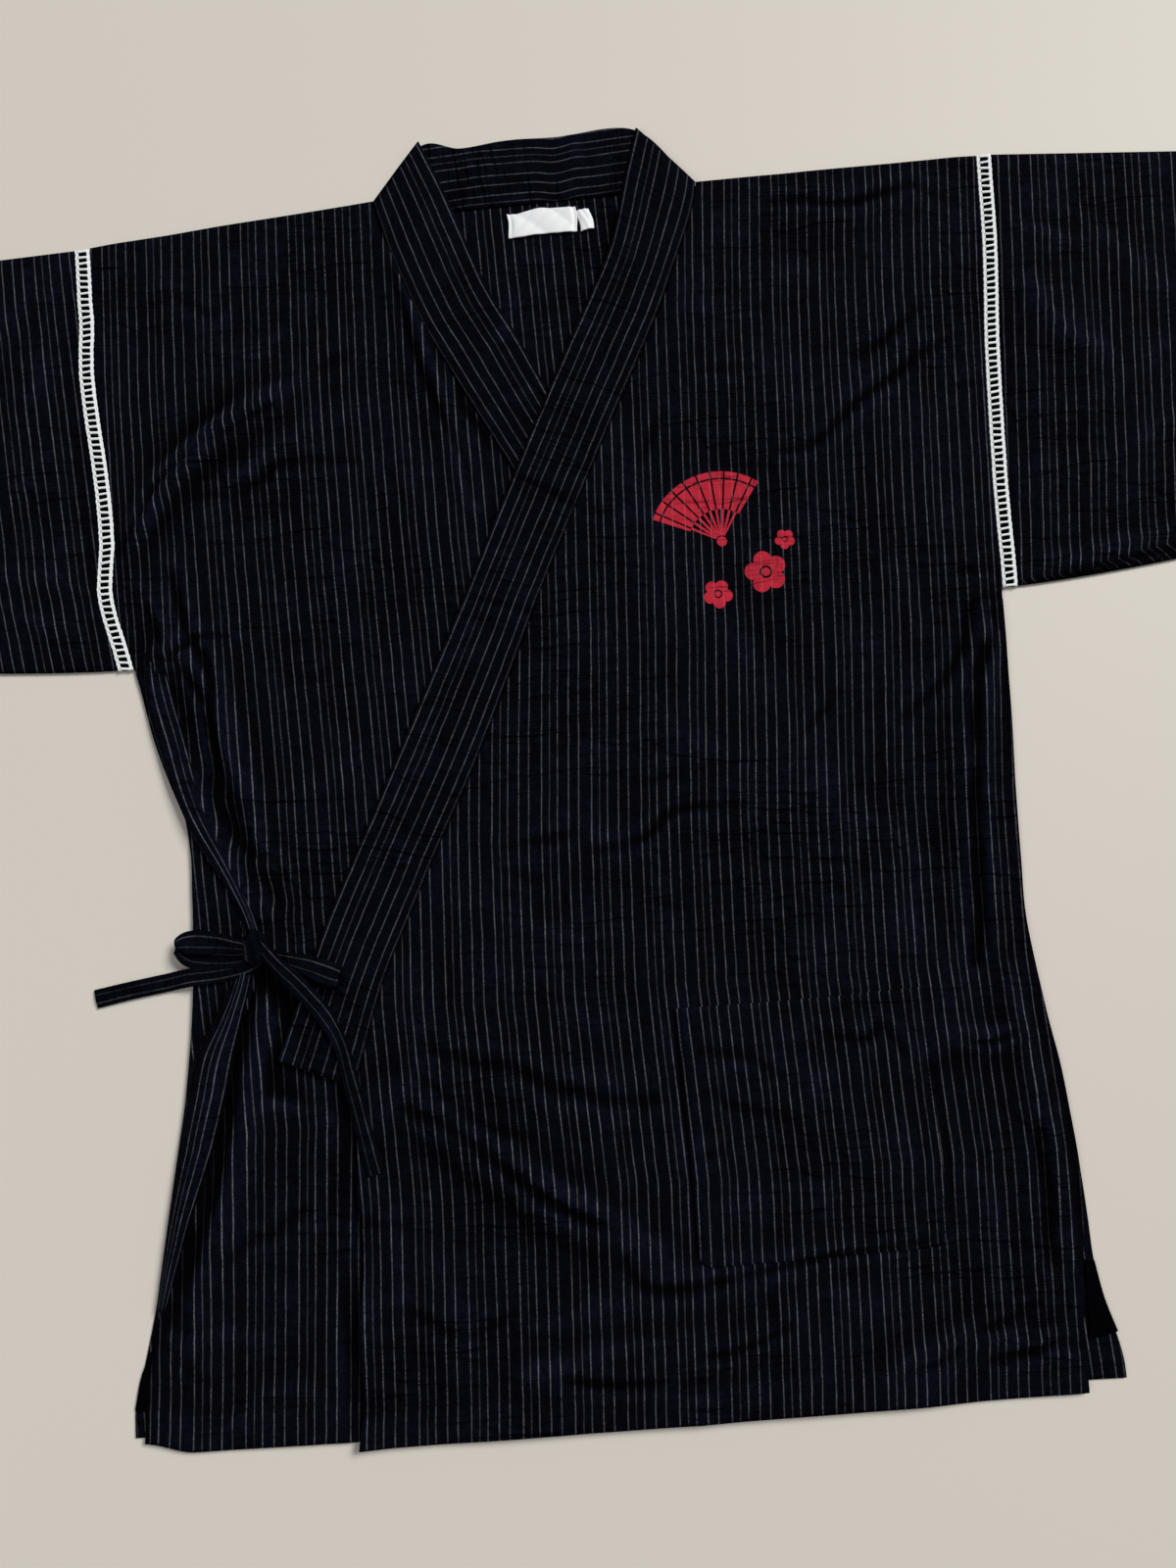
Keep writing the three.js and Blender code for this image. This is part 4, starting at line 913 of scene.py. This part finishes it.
# The lapped front is painted with the shadows of its hollows
front_left = sheet_piece(
    "front_left_cloth", upper_x, upper_y, upper_z, upper_u, upper_y, COTTON_WALL,
    [seam_allowance(LACE_RIGHT)], valleys(upper_x, upper_y, upper_hollows)[1],
)
finish_cloth(
    front_left, "front_left", printed_cloth,
)

# The patch pocket is a square of the same cloth with its stripes matched, folded in at its edges.
# It is sewn round three sides close to the edge, and its open top has a broad hem.
pocket_step = 2.4
pocket_left, pocket_right = 45.0, 197.0
pocket_low, pocket_top = -301.0, -147.0
pocket_round = 9.0
pocket_rows = int((pocket_top - pocket_low) / pocket_step) + 1
pocket_columns = int((pocket_right - pocket_left) / pocket_step) + 1
pocket_v = np.linspace(0, 1, pocket_rows)[:, None]
pocket_s = np.linspace(0, 1, pocket_columns)[None, :]
pocket_y = mixed(pocket_low, pocket_top, pocket_v) + 0 * pocket_s
near_foot = np.clip((pocket_low + pocket_round - pocket_y) / pocket_round, 0, 1)
inset = pocket_round * (1 - np.sqrt(1 - near_foot**2)) * 0.8
sag = 1.1 * np.sin(math.pi * pocket_s) * eased(pocket_y, pocket_top - 30, pocket_top)
pocket_x = mixed(pocket_left + inset, pocket_right - inset, pocket_s)
pocket_x = pocket_x + 0.5 * np.sin(pocket_y / 23.0)
pocket_y = pocket_y - sag
pocket_gap_left = pocket_x - np.interp(pocket_y, left_run[:, 1], left_run[:, 0])
pocket_gap_right = np.interp(pocket_y, right_run[:, 1], right_run[:, 0]) - pocket_x
edge_near = np.minimum(pocket_x - pocket_left, pocket_right - pocket_x)
edge_near = np.minimum(edge_near, pocket_y - pocket_low)
pocket_z = upper_height(pocket_x, pocket_y, pocket_gap_left, pocket_gap_right) + 0.95
pocket_z += 0.45 * (1 - eased(edge_near, 7, 8.5)) - 0.35 * mound(edge_near - 1.8, 0.9)
top_hem = 0.45 * eased(pocket_y, pocket_top - 27, pocket_top - 25)
pocket_z += top_hem + 0.5 * eased(pocket_y, pocket_top - 8, pocket_top)
pocket_folds = [
    ([(70, -180), (120, -196), (170, -186)], 0.9, 8, 12),
    ([(60, -270), (110, -262), (160, -276)], 0.8, 7, 10),
]
pocket_z += creases(pocket_x, pocket_y, pocket_folds)
pocket_u = pocket_x - level(UPPER_LEAN, pocket_y) + 1.2
# The pocket is painted with the same shadows of the front's hollows
pocket = sheet_piece(
    "pocket_cloth", pocket_x, pocket_y, pocket_z, pocket_u, pocket_y, COTTON_WALL, (),
    valleys(pocket_x, pocket_y, upper_hollows)[1],
)
finish_cloth(pocket, "pocket", body_cloth)

# Each sleeve is one width of cloth folded at the top and seamed below into a wide flat tube.
# Its cuff has a narrow hem, and laces of white ladder tape join it to the body.
SLEEVE_LENGTH = 250


def sleeve_piece(
    name, node, arm_rows, top_arm, low_arm, side, top_drop, low_rise, cuff_lean, lean, folds, seed,
):
    """One flat tube, from the armhole out to the cuff and round from the seam over the front."""
    out = np.linspace(0, 1, 97)[:, None]
    rows_up = 84
    ring = np.concatenate([np.linspace(0, 1, rows_up), np.linspace(1, 0, rows_up)])[None, :]
    front = np.concatenate([np.zeros(rows_up), np.ones(rows_up)])[None, :]
    top = top_arm - top_drop * out
    low = low_arm + low_rise * out**1.4
    y = mixed(low, top, ring) + 0 * out
    arm_x = level(arm_rows, mixed(low_arm, top_arm, ring))
    cuff_x = level(arm_rows, top_arm) + side * (SLEEVE_LENGTH - cuff_lean * (1 - ring))
    x = mixed(arm_x, cuff_x, out) + side * 0.8 * np.sin(y / 34.0 + seed) * out
    length = top - low
    along = y - low
    edges = eased(along, 0, 18) * eased(length - along, 0, 18) * eased(out, 0, 0.10)
    loft = 2.2 * np.sin(math.pi * ring) + creases(x, y, folds) + np.abs(waves(x, y, seed, 0.35))
    cuff_hem = 0.4 * eased(out, 0.905, 0.91)
    front_z = LAYER + 0.55 + np.maximum(loft, 0) * edges + cuff_hem
    back_z = 0.35
    pinch = eased(np.minimum(along, length - along), 0, 4.0)
    middle = (front_z + back_z) / 2
    z = np.where(front > 0.5, mixed(middle + 0.35, front_z, pinch), mixed(middle - 0.35, back_z, pinch))
    u = x - level(lean, y)
    v = np.where(front > 0.5, y, 2 * 390 - y)
    painted_shadow = 0.0 * x
    if side < 0:
        x, y, z, u, v = (grid[::-1] + 0 * x for grid in (x, y, z + 0 * x, u, v + 0 * x))
    else:
        z, v = z + 0 * x, v + 0 * x
        # The viewer's right sleeve shows a narrow strip of its own back, turned up over the seam, with a
        # painted shadow along its edge
        turned_edge = 7.5 * eased(out, 0.02, 0.40)
        turned = np.clip(turned_edge - along, 0, None) * front
        u = u - 0.9 * turned - 3.2 * (turned > 0)
        painted_shadow = 0.9 * front * eased(out, 0.0, 0.12) * mound(along - turned_edge, 1.5)
    piece = sheet_piece(name, x, y, z, u, v, COTTON_WALL, (), painted_shadow)
    finish_cloth(piece, node, body_cloth)


left_sleeve_folds = [
    ([(-300, 150), (-360, 160), (-430, 168), (-520, 180)], 2.2, 10, 14),
    ([(-330, 340), (-380, 300), (-450, 240)], 1.8, 12, 16),
    ([(-306, 240), (-330, 226), (-352, 200)], 1.5, 7, 10),
    ([(-304, 120), (-330, 126), (-352, 140)], 1.7, 6, 9),
    ([(-318, 300), (-332, 270), (-336, 236)], 1.2, 8, 11),
]
right_sleeve_folds = [
    ([(296, 112), (320, 112), (344, 115), (391, 126), (450, 146)], 2.6, 6, 10),
    ([(340, 352), (390, 300), (440, 240)], 1.6, 12, 16),
    ([(304, 300), (336, 280), (356, 250)], 1.3, 8, 11),
    ([(310, 160), (350, 172), (400, 196), (470, 206)], 1.4, 9, 13),
    ([(308, 351), (316, 336), (335, 328), (352, 318)], 2.2, 4, 9),
    ([(317, 297), (325, 279), (340, 259), (364, 244)], 2.6, 4, 9),
    ([(330, 210), (366, 222), (402, 250)], 1.1, 10, 12),
]
LEFT_SLEEVE_LEAN = [(372, -326), (278, -320), (149, -310.9), (92, -304)]
RIGHT_SLEEVE_LEAN = [(386, 330), (252, 318.1), (155, 309.3), (97, 304)]
sleeve_piece(
    "sleeve_right_cloth", "sleeve_right", [(y, x - LACE_HALF) for y, x in LACE_LEFT], 372, 92.5, -1,
    11, 26, 9, LEFT_SLEEVE_LEAN, left_sleeve_folds, 5,
)
sleeve_piece(
    "sleeve_left_cloth", "sleeve_left", [(y, x + LACE_HALF) for y, x in LACE_RIGHT], 386, 97.5, 1,
    17, 30, 16, RIGHT_SLEEVE_LEAN, right_sleeve_folds, 8,
)

# The armholes are joined by a strip of white ladder lace, a tape with a row of slots through it.
# It is made of two corded edges with short bars between them, in white cotton.
lace_look, lace_tree, lace_shader = plain_look("lace cotton", (0.80, 0.80, 0.78, 1), 0.88)
lace_shader.inputs["Subsurface Weight"].default_value = 0.08
lace_place = lace_tree.nodes.new("ShaderNodeTexCoord")
lace_bump = bumped(lace_tree, noise(lace_tree, lace_place.outputs["Object"], 2400), 0.6, 0.0003)
link(lace_tree, lace_bump.outputs["Normal"], lace_shader.inputs["Normal"])


def sweep(path, radii, sides=8, flat=1.0):
    """Points and faces of a closed cord along a path, with a radius at each point."""
    run = np.array(path, float)
    tangents = np.gradient(run, axis=0)
    tangents /= np.linalg.norm(tangents, axis=1)[:, None]
    aside = np.cross(tangents, (0, 0, 1.0))
    aside /= np.maximum(np.linalg.norm(aside, axis=1)[:, None], 1e-6)
    up = np.cross(aside, tangents)
    radii = np.broadcast_to(np.asarray(radii, float), (len(run),))
    turn = np.linspace(0, 2 * math.pi, sides, endpoint=False)
    rings = run[:, None] + radii[:, None, None] * (
        np.cos(turn)[None, :, None] * aside[:, None] + flat * np.sin(turn)[None, :, None] * up[:, None]
    )
    points = rings.reshape(-1, 3)
    faces = []
    for i in range(len(run) - 1):
        for j in range(sides):
            k = (j + 1) % sides
            faces.append((i * sides + j, i * sides + k, (i + 1) * sides + k, (i + 1) * sides + j))
    faces.append(tuple(range(sides))[::-1])
    faces.append(tuple((len(run) - 1) * sides + j for j in range(sides)))
    return points, faces


def joined(parts_list):
    """One list of points and one of faces from several parts."""
    points = []
    faces = []
    for part_points, part_faces in parts_list:
        start = len(points)
        points.extend(part_points.tolist())
        faces.extend(tuple(start + k for k in face) for face in part_faces)
    return np.array(points), faces


def lace_strip(name, node, middle_rows, height, seed):
    """Four cords along the armhole, and a bar across between each two slots."""
    dice = np.random.default_rng(seed)
    high, low = middle_rows[0][0], middle_rows[-1][0]
    parts_list = []
    pitch = 4.1
    count = int((high - low) / pitch)
    y_run = np.linspace(low, high, int((high - low) / 1.4))
    x_run = level(middle_rows, y_run) + 0.25 * np.sin(y_run / 21.0 + seed)
    slot_phase = y_run * 2 * math.pi / pitch
    for offset, radius in ((-4.2, 0.6), (-3.3, 0.66), (3.3, 0.66), (4.2, 0.6)):
        wobble = 0.16 * np.sin(slot_phase + offset) + 0.07 * dice.standard_normal(len(y_run))
        rise = height + 0.62 + 0.10 * np.sin(slot_phase)
        path = np.stack([x_run + offset + wobble, y_run, rise], axis=1)
        parts_list.append(sweep(path, radius, 8, 0.75))
    for k in range(count + 1):
        y = low + 1.0 + k * (high - low - 2.0) / count
        x = float(level(middle_rows, y)) + 0.25 * math.sin(y / 21.0 + seed)
        slant = dice.uniform(-0.35, 0.45)
        steps = np.linspace(-1, 1, 7)
        rise = height + 0.66 + 0.12 * (1 - steps**2)
        path = np.stack([x + 3.1 * steps, y + slant * steps, rise], axis=1)
        radii = (0.76 + 0.36 * steps**6) * dice.uniform(0.88, 1.12)
        parts_list.append(sweep(path, radii, 8, 0.62))
    points, faces = joined(parts_list)
    piece = add_mesh(name, points, faces)
    bpy.ops.object.shade_smooth()
    finish_cloth(piece, node, lace_look)


FRONT_LACE = 1.85
BACK_LACE = 0.05
lace_strip("lace_right_front_tape", "lace_right_front", LACE_LEFT, FRONT_LACE, 3)
lace_strip("lace_right_back_tape", "lace_right_back", LACE_LEFT, BACK_LACE, 4)
lace_strip("lace_left_front_tape", "lace_left_front", LACE_RIGHT, FRONT_LACE, 5)
lace_strip("lace_left_back_tape", "lace_left_back", LACE_RIGHT, BACK_LACE, 6)

# The neckband is a long straight strip, folded double and sewn to the neck and both fronts.
# Its stripes run along it, and it ends square where the two fronts lap over each other.
BAND_THREAD = (0.098, 0.098, 0.117, 1)
BAND_NAVY = (0.0034, 0.0039, 0.0096, 1)
BAND_WALL = 0.55
band_cloth = striped_look("neckband cotton", BAND_THREAD, BAND_NAVY)[0]
# Painted shadows on the bands: along creases across them, and under the fold at the right of the back
# neck; they paint shade only and give no shape
band_painted_shadows = [
    ([(-30, 198), (-12, 189), (12, 171)], 4.6, 1.3),
    ([(-68, 121), (-45, 115), (-12, 104)], 3.4, 1.7),
    ([(62, 402), (54, 376), (47, 344)], 4.6, 4.2),
    ([(-66, 391), (-40, 389), (-6, 393)], 2.0, 2.4),
    ([(-20, 402), (-10, 396), (-4, 388)], 1.8, 2.6),
    ([(70, 344), (60, 322), (50, 300)], 1.5, 3.6),
    ([(-176, -112), (-160, -122), (-144, -136)], 2.2, 2.6),
    ([(-186, -88), (-168, -104), (-158, -112)], 1.8, 3.0),
]


def band_piece(name, node, rows, rest, folds, seed):
    """A doubled band: it lies open at its sewn edge and is folded at its free edge."""
    sewn, free = even([through([row[:2] for row in rows]), through([row[2:] for row in rows])], 2.6)
    walked = walked_along((sewn + free) / 2)
    turn = math.pi * np.linspace(-0.5, 0.5, 5)[1:-1]
    below_share = np.linspace(0, 0.975, 9)
    above_share = np.linspace(0.975, -0.035, 22)
    share = np.concatenate([below_share, 0.975 + 0.02 * np.cos(turn), above_share])[None, :]
    top = np.concatenate([np.zeros(9), 0.5 + 0.5 * np.sin(turn), np.ones(22)])[None, :]
    x = mixed(sewn[:, 0:1], free[:, 0:1], share)
    y = mixed(sewn[:, 1:2], free[:, 1:2], share)
    swell = np.abs(waves(x, y, seed, 0.16, 120, 24)) + np.maximum(creases(x, y, folds), -0.5)
    puff = 0.55 * np.sin(math.pi * np.clip(share, 0, 1)) ** 0.6
    z = rest(x, y) + 0.3 + top * (1.25 + puff + swell)
    u = np.where(top > 0.4, share * 45.0, -share * 45.0) + 0 * x - 25.7
    v = walked[:, None] + 0 * share
    # Painted shadows on the band's upper layer
    painted_shadow = valleys(x, y, band_painted_shadows)[1] * (top > 0.4)
    piece = sheet_piece(name, x, y, z, u, v, BAND_WALL, (), painted_shadow)
    finish_cloth(piece, node, band_cloth)


upper_band_folds = [
    ([(-16, 188), (10, 175), (36, 163)], -0.7, 3, 5),
    ([(-10, 198), (14, 190), (30, 182)], 0.7, 4, 5),
    ([(-55, 100), (-40, 94), (-26, 88)], -0.6, 3, 4),
    ([(-50, 112), (-34, 104)], 0.5, 3, 4),
    ([(40, 330), (60, 322), (80, 318)], 0.5, 5, 6),
    ([(-120, -30), (-104, -46)], 0.5, 5, 6),
    ([(-186, -120), (-168, -132), (-150, -140)], 0.6, 5, 6),
]
under_band_folds = [
    ([(-66, 376), (-78, 352), (-72, 330)], 0.6, 4, 6),
    ([(-50, 330), (-66, 318)], -0.5, 3, 4),
    ([(-20, 300), (-36, 280), (-44, 262)], 0.7, 4, 5),
    ([(-2, 262), (-24, 244)], 0.5, 3, 4),
]
band_piece(
    "neckband_left_cloth", "neckband_left", upper_band_rows,
    lambda x, y: mixed(OVER_BAND, UNDER_BAND, eased(y, 290, 370)) + 0 * x,
    upper_band_folds, 41,
)
band_piece(
    "neckband_right_cloth", "neckband_right", under_band_rows, lambda x, y: UNDER_BAND + 0 * x,
    under_band_folds, 42,
)

# Rows behind the neck: x, y of the sewn edge, y of the folded edge
neck_rows = [
    (-97, 379, 392), (-69, 379, 425), (-43, 379.6, 421), (-13, 380.2, 424), (20, 381, 423.5),
    (72, 382.1, 424), (105, 382.9, 386.5),
]
neck_x = np.linspace(-97, 105, 91)[:, None]
neck_seam = np.interp(neck_x, [r[0] for r in neck_rows], [r[1] for r in neck_rows])
neck_run = through([(r[0], r[2]) for r in neck_rows])
neck_top = np.interp(neck_x, neck_run[:, 0], neck_run[:, 1])
neck_share = [np.linspace(0, 0.97, 7), [0.995, 1.0, 0.995], np.linspace(0.97, -0.035, 19)]
neck_share = np.concatenate(neck_share)[None, :]
neck_up = np.concatenate([np.zeros(7), [0.2, 0.5, 0.8], np.ones(19)])[None, :]
neck_y = mixed(neck_seam, neck_top, neck_share)
neck_full_x = neck_x + 0 * neck_y
kink_folds = [
    ([(28, 424), (33, 408), (30, 384)], 0.9, 4, 5),
    ([(40, 420), (42, 402)], -0.5, 4, 4),
    ([(-40, 420), (-34, 396)], 0.5, 6, 6),
]
kink = creases(neck_full_x, neck_y, kink_folds)
neck_swell = np.abs(waves(neck_full_x, neck_y, 43, 0.14, 90, 20))
neck_z = 0.3 + neck_up * (1.2 + 0.5 * np.sin(math.pi * np.clip(neck_share, 0, 1)) + neck_swell + kink)
neck_u = np.where(neck_up > 0.4, (neck_y - neck_seam), -(neck_y - neck_seam)) + 4.0
neck_u = neck_u + 0.8 * np.sin(neck_full_x / 17.0) + 1.8 * mound(neck_full_x - 18, 9)
# The band behind the neck gets the same painted shadows on its upper layer
neckband_back = sheet_piece(
    "neckband_back_cloth", neck_full_x, neck_y, neck_z, neck_u, neck_full_x, BAND_WALL, (),
    valleys(neck_full_x, neck_y, band_painted_shadows)[1] * (neck_up > 0.4),
)
finish_cloth(neckband_back, "neckband_back", band_cloth)

# The bare woven label and the small size tab are sewn flat inside the back neck.
# Both are white satin tape, held down at their short ends and slightly waved between them.
LABEL_WALL = 0.35
label_look, label_tree, label_shader = plain_look("label satin", (0.74, 0.74, 0.74, 1), 0.62)
label_uv = label_tree.nodes.new("ShaderNodeUVMap")
label_uv.uv_map = "cut"
label_weave = group_node(label_tree, weave, label_uv.outputs["UV"])
label_bump = bumped(label_tree, label_weave.outputs["Height"], 0.5, 0.0002)
link(label_tree, label_bump.outputs["Normal"], label_shader.inputs["Normal"])


def label_piece(name, node, x, y, width, length, bends, turn, seed):
    """A rectangle of tape round its middle, held down at its two ends and slightly waved."""
    columns, rows = int(width / 0.9) + 1, int(length / 0.9) + 1
    s = np.linspace(-0.5, 0.5, columns)[None, :] + np.zeros((rows, 1))
    t = np.linspace(-0.5, 0.5, rows)[:, None] + np.zeros((1, columns))
    sway = bends * (np.sin(5.2 * s + seed) + 0.5 * np.sin(11 * s + 2 * seed))
    across = s * width + 0.5 * np.sin(5 * t + seed)
    up = t * length + sway * (0.7 + 0.6 * t)
    grid_x = x + across * math.cos(turn) - up * math.sin(turn)
    grid_y = y + across * math.sin(turn) + up * math.cos(turn)
    held = mound((np.abs(s) - 0.465) * width, 1.3)
    lift = np.abs(np.sin(6.3 * s + 2.6 * t + seed)) + 0.5 * np.abs(np.sin(13 * s - 5 * t + seed))
    grid_z = LAYER + 0.55 + 0.7 * lift * (1 - held) - 0.2 * held
    piece = sheet_piece(name, grid_x, grid_y, grid_z, grid_x, grid_y, LABEL_WALL)
    finish_cloth(piece, node, label_look)


label_piece("label_tape", "label", 6.5, 365, 45, 16.8, 0.9, 0.015, 1.0)
label_piece("size_tab_tape", "size_tab", 34.5, 364.5, 9, 14, 0.2, 0.17, 2.0)

# The tie is two flat tapes of the striped cloth, sewn to the side and to the band's end.
# They meet in a small bow: a knot, two flattened loops and two free tails.
TIE_THREAD = (0.072, 0.072, 0.086, 1)
TIE_WALL = 1.1
tie_cloth = striped_look("tie cotton", TIE_THREAD)[0]


def tape_points(path, widths, folds_up, twist=None, level_way=None):
    """Middle surface of a tape along a path of points with a width at each, slightly cupped."""
    step = 1.5
    data = np.column_stack([path, widths, twist or [0] * len(path)])
    run = even([through(data)], step)[0]
    centre, width, lean = run[:, :3], run[:, 3:4], run[:, 4:5]
    along = np.gradient(centre, axis=0)
    along /= np.linalg.norm(along, axis=1)[:, None]
    level_aside = np.column_stack([-along[:, 1], along[:, 0], np.zeros(len(along))])
    if level_way is not None:
        level_aside = np.array(level_way, float) + np.zeros_like(along)
        level_aside -= along * (level_aside * along).sum(axis=1)[:, None]
    level_aside /= np.maximum(np.linalg.norm(level_aside, axis=1)[:, None], 1e-6)
    up = np.cross(along, level_aside)
    aside = level_aside * np.cos(lean) + up * np.sin(lean)
    up = np.cross(along, aside)
    s = np.linspace(-1, 1, 13)[None, :, None]
    grid = centre[:, None] + aside[:, None] * s * width[:, None] / 2
    cup = folds_up * (1 - s**2) + 0.25 * np.sin(3 * s + np.arange(len(run))[:, None, None] / 5.0)
    grid = grid + up[:, None] * cup
    walked = np.arange(len(run))[:, None] * step
    u = (s[..., 0] + 1) * 5.5 + 0 * walked
    return grid[..., 0], grid[..., 1], grid[..., 2], u, walked + 0 * u


def tape_piece(name, node, path, widths, folds_up, twist=None, level_way=None):
    x, y, z, u, v = tape_points(path, widths, folds_up, twist, level_way)
    piece = sheet_piece(name, x, y, z, u + 1.5, v, TIE_WALL)
    finish_cloth(piece, node, tie_cloth)


tape_piece(
    "tie_loop_1_tape", "tie_loop_1",
    [
        (-208, -93, 7.0), (-222, -94, 6.6), (-238, -92.5, 6.4), (-247, -90.5, 6.3), (-252.5, -87, 6.8),
        (-255.5, -84, 8.1), (-253, -82, 9.4), (-246, -81.5, 9.9), (-232, -83, 10.0), (-218, -86, 9.9),
        (-209, -88, 9.6),
    ],
    [7, 11, 12.5, 13, 10.5, 5.5, 10, 14.5, 13.5, 8.5, 5], 0.35, None,
    (-0.05, 1, 0),
)
tape_piece(
    "tie_loop_2_tape", "tie_loop_2",
    [
        (-204, -91, 8.4), (-190, -98, 8.4), (-172, -106, 8.4), (-162, -110, 8.7), (-157.5, -110.5, 9.8),
        (-162, -108, 10.9), (-176, -101.5, 11.3), (-192, -96, 11.2), (-204, -90, 10.8),
    ],
    [6, 11, 14, 14.5, 13, 14.5, 13, 9, 6], 0.3, None, (0.38, 1, 0),
)
tape_piece(
    "tie_tail_1_tape", "tie_tail_1",
    [
        (-205, -96, 6.4), (-216, -100, 6.2), (-232, -102, 6.1), (-246, -102.5, 6.0), (-256, -103.5, 3.8),
        (-266, -105, 1.7), (-290, -108, 1.2), (-309, -111, 1.1),
    ],
    [8, 9.5, 10.5, 11, 11, 11, 11, 11.3], 0.25, None,
)
tape_piece(
    "tie_tail_2_tape", "tie_tail_2",
    [
        (-204, -86, 13.0), (-195, -98, 13.4), (-181, -114, 12.6), (-170, -129, 9.8), (-163, -142, 8.4),
        (-159, -153, 8.0), (-156, -168, 7.6), (-151, -194, 6.9), (-147, -215, 6.7), (-144, -230, 6.6),
    ],
    [8, 10, 11.5, 11, 9.5, 9, 9.5, 10.5, 11, 11.3], 0.3,
    [0.1, 0.15, 0.1, -0.1, -0.35, -0.3, -0.1, 0, 0, 0.05],
)

KNOT_WALL = 0.5
knot_turn = np.linspace(0, 2 * math.pi, 57)[:, None]
knot_run = np.linspace(-1, 1, 31)[None, :]
plump = np.sqrt(np.maximum(1 - 0.92 * knot_run**2, 0.0))
ridges = 1 + 0.10 * np.cos(knot_run * 9 + 0.8 * np.sin(knot_turn)) * (1 - knot_run**2)
ridges = ridges + 0.05 * np.sin(3 * knot_turn + 3 * knot_run)
knot_wide = 7.6 * knot_run + 1.4 * np.sin(knot_turn + 0.6)
knot_long = 10.4 * plump * np.cos(knot_turn) * ridges + 0 * knot_wide
knot_lean = math.radians(14)
knot_x = -207 + knot_wide * math.cos(knot_lean) - knot_long * math.sin(knot_lean)
knot_y = -88 + knot_wide * math.sin(knot_lean) + knot_long * math.cos(knot_lean)
knot_z = 9.9 + 4.4 * plump * np.sin(knot_turn) * ridges
knot_u = 13 + 3.4 * knot_run + 0 * knot_z
knot_v = 9 * knot_turn + 0 * knot_z
knot = sheet_piece("tie_knot_tape", knot_x, knot_y, knot_z, knot_u, knot_v, KNOT_WALL)
finish_cloth(knot, "tie_knot", tie_cloth)

# Seams and hems are sewn in black thread, in short even stitches that sink into the cloth.
# They run round the pocket, along both front hems, and in a short bar above the side slit.
thread_look, _, thread_shader = plain_look("black thread", (0.0022, 0.0022, 0.0034, 1), 0.8)
thread_shader.inputs["Specular IOR Level"].default_value = 0.05


def stitches(name, path, height_at, pitch=2.9, length=2.2):
    """A row of separate stitches along a path, each sunk at both of its ends."""
    run = np.array(path, float)
    walked = walked_along(run)
    parts_list = []
    for start in np.arange(0, walked[-1] - length, pitch):
        wanted = start + np.linspace(0, length, 4)
        x = np.interp(wanted, walked, run[:, 0])
        y = np.interp(wanted, walked, run[:, 1])
        z = height_at(x, y) + np.array([-0.12, 0.14, 0.14, -0.12])
        parts_list.append(sweep(np.stack([x, y, z], axis=1), [0.12, 0.21, 0.21, 0.12], 6, 0.8))
    points, faces = joined(parts_list)
    piece = add_mesh(name, points, faces)
    bpy.ops.object.shade_smooth()
    piece.data.materials.append(thread_look)
    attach(piece, "root")


def grid_height(x_grid, y_grid, z_grid):
    """Height of a plan grid at any place, from its nearest corner."""
    flat_x, flat_y, flat_z = x_grid.ravel(), y_grid.ravel(), z_grid.ravel()

    def height(x, y):
        picked = [np.argmin((flat_x - a) ** 2 + (flat_y - b) ** 2) for a, b in zip(x, y)]
        return flat_z[picked] + 0.36

    return height


pocket_path = [
    (46.6, -149), (46.6, -290), (49, -296.5), (55, -299.4), (187, -299.4), (193, -296.5), (195.4, -290),
    (195.4, -149),
]
on_pocket = grid_height(pocket_x, pocket_y, pocket_z)
stitches("pocket_stitches", pocket_path, on_pocket)
stitches("pocket_hem_stitches", [(47, -173), (195, -173)], on_pocket)
hem_cut = int(np.argmin(np.abs(upper_y[:, 0] + 367.5)))
stitches(
    "front_left_hem_stitches", np.stack([upper_x[hem_cut], upper_y[hem_cut]], axis=1),
    grid_height(upper_x[:14], upper_y[:14], upper_z[:14]),
)
hem_cut = int(np.argmin(np.abs(under_y[:, 20] + 358.5)))
hem_seen = under_x[hem_cut] < -164
stitches(
    "front_right_hem_stitches",
    np.stack([under_x[hem_cut][hem_seen], under_y[hem_cut][hem_seen]], axis=1),
    grid_height(under_x[:14], under_y[:14], under_z[:14]),
)
stitches(
    "slit_bar_stitches", [(-280, -297.5), (-268, -303.5), (-268.4, -304.6), (-279.6, -298.8)],
    grid_height(under_x[20:40], under_y[20:40], under_z[20:40]), 1.3, 1.2,
)
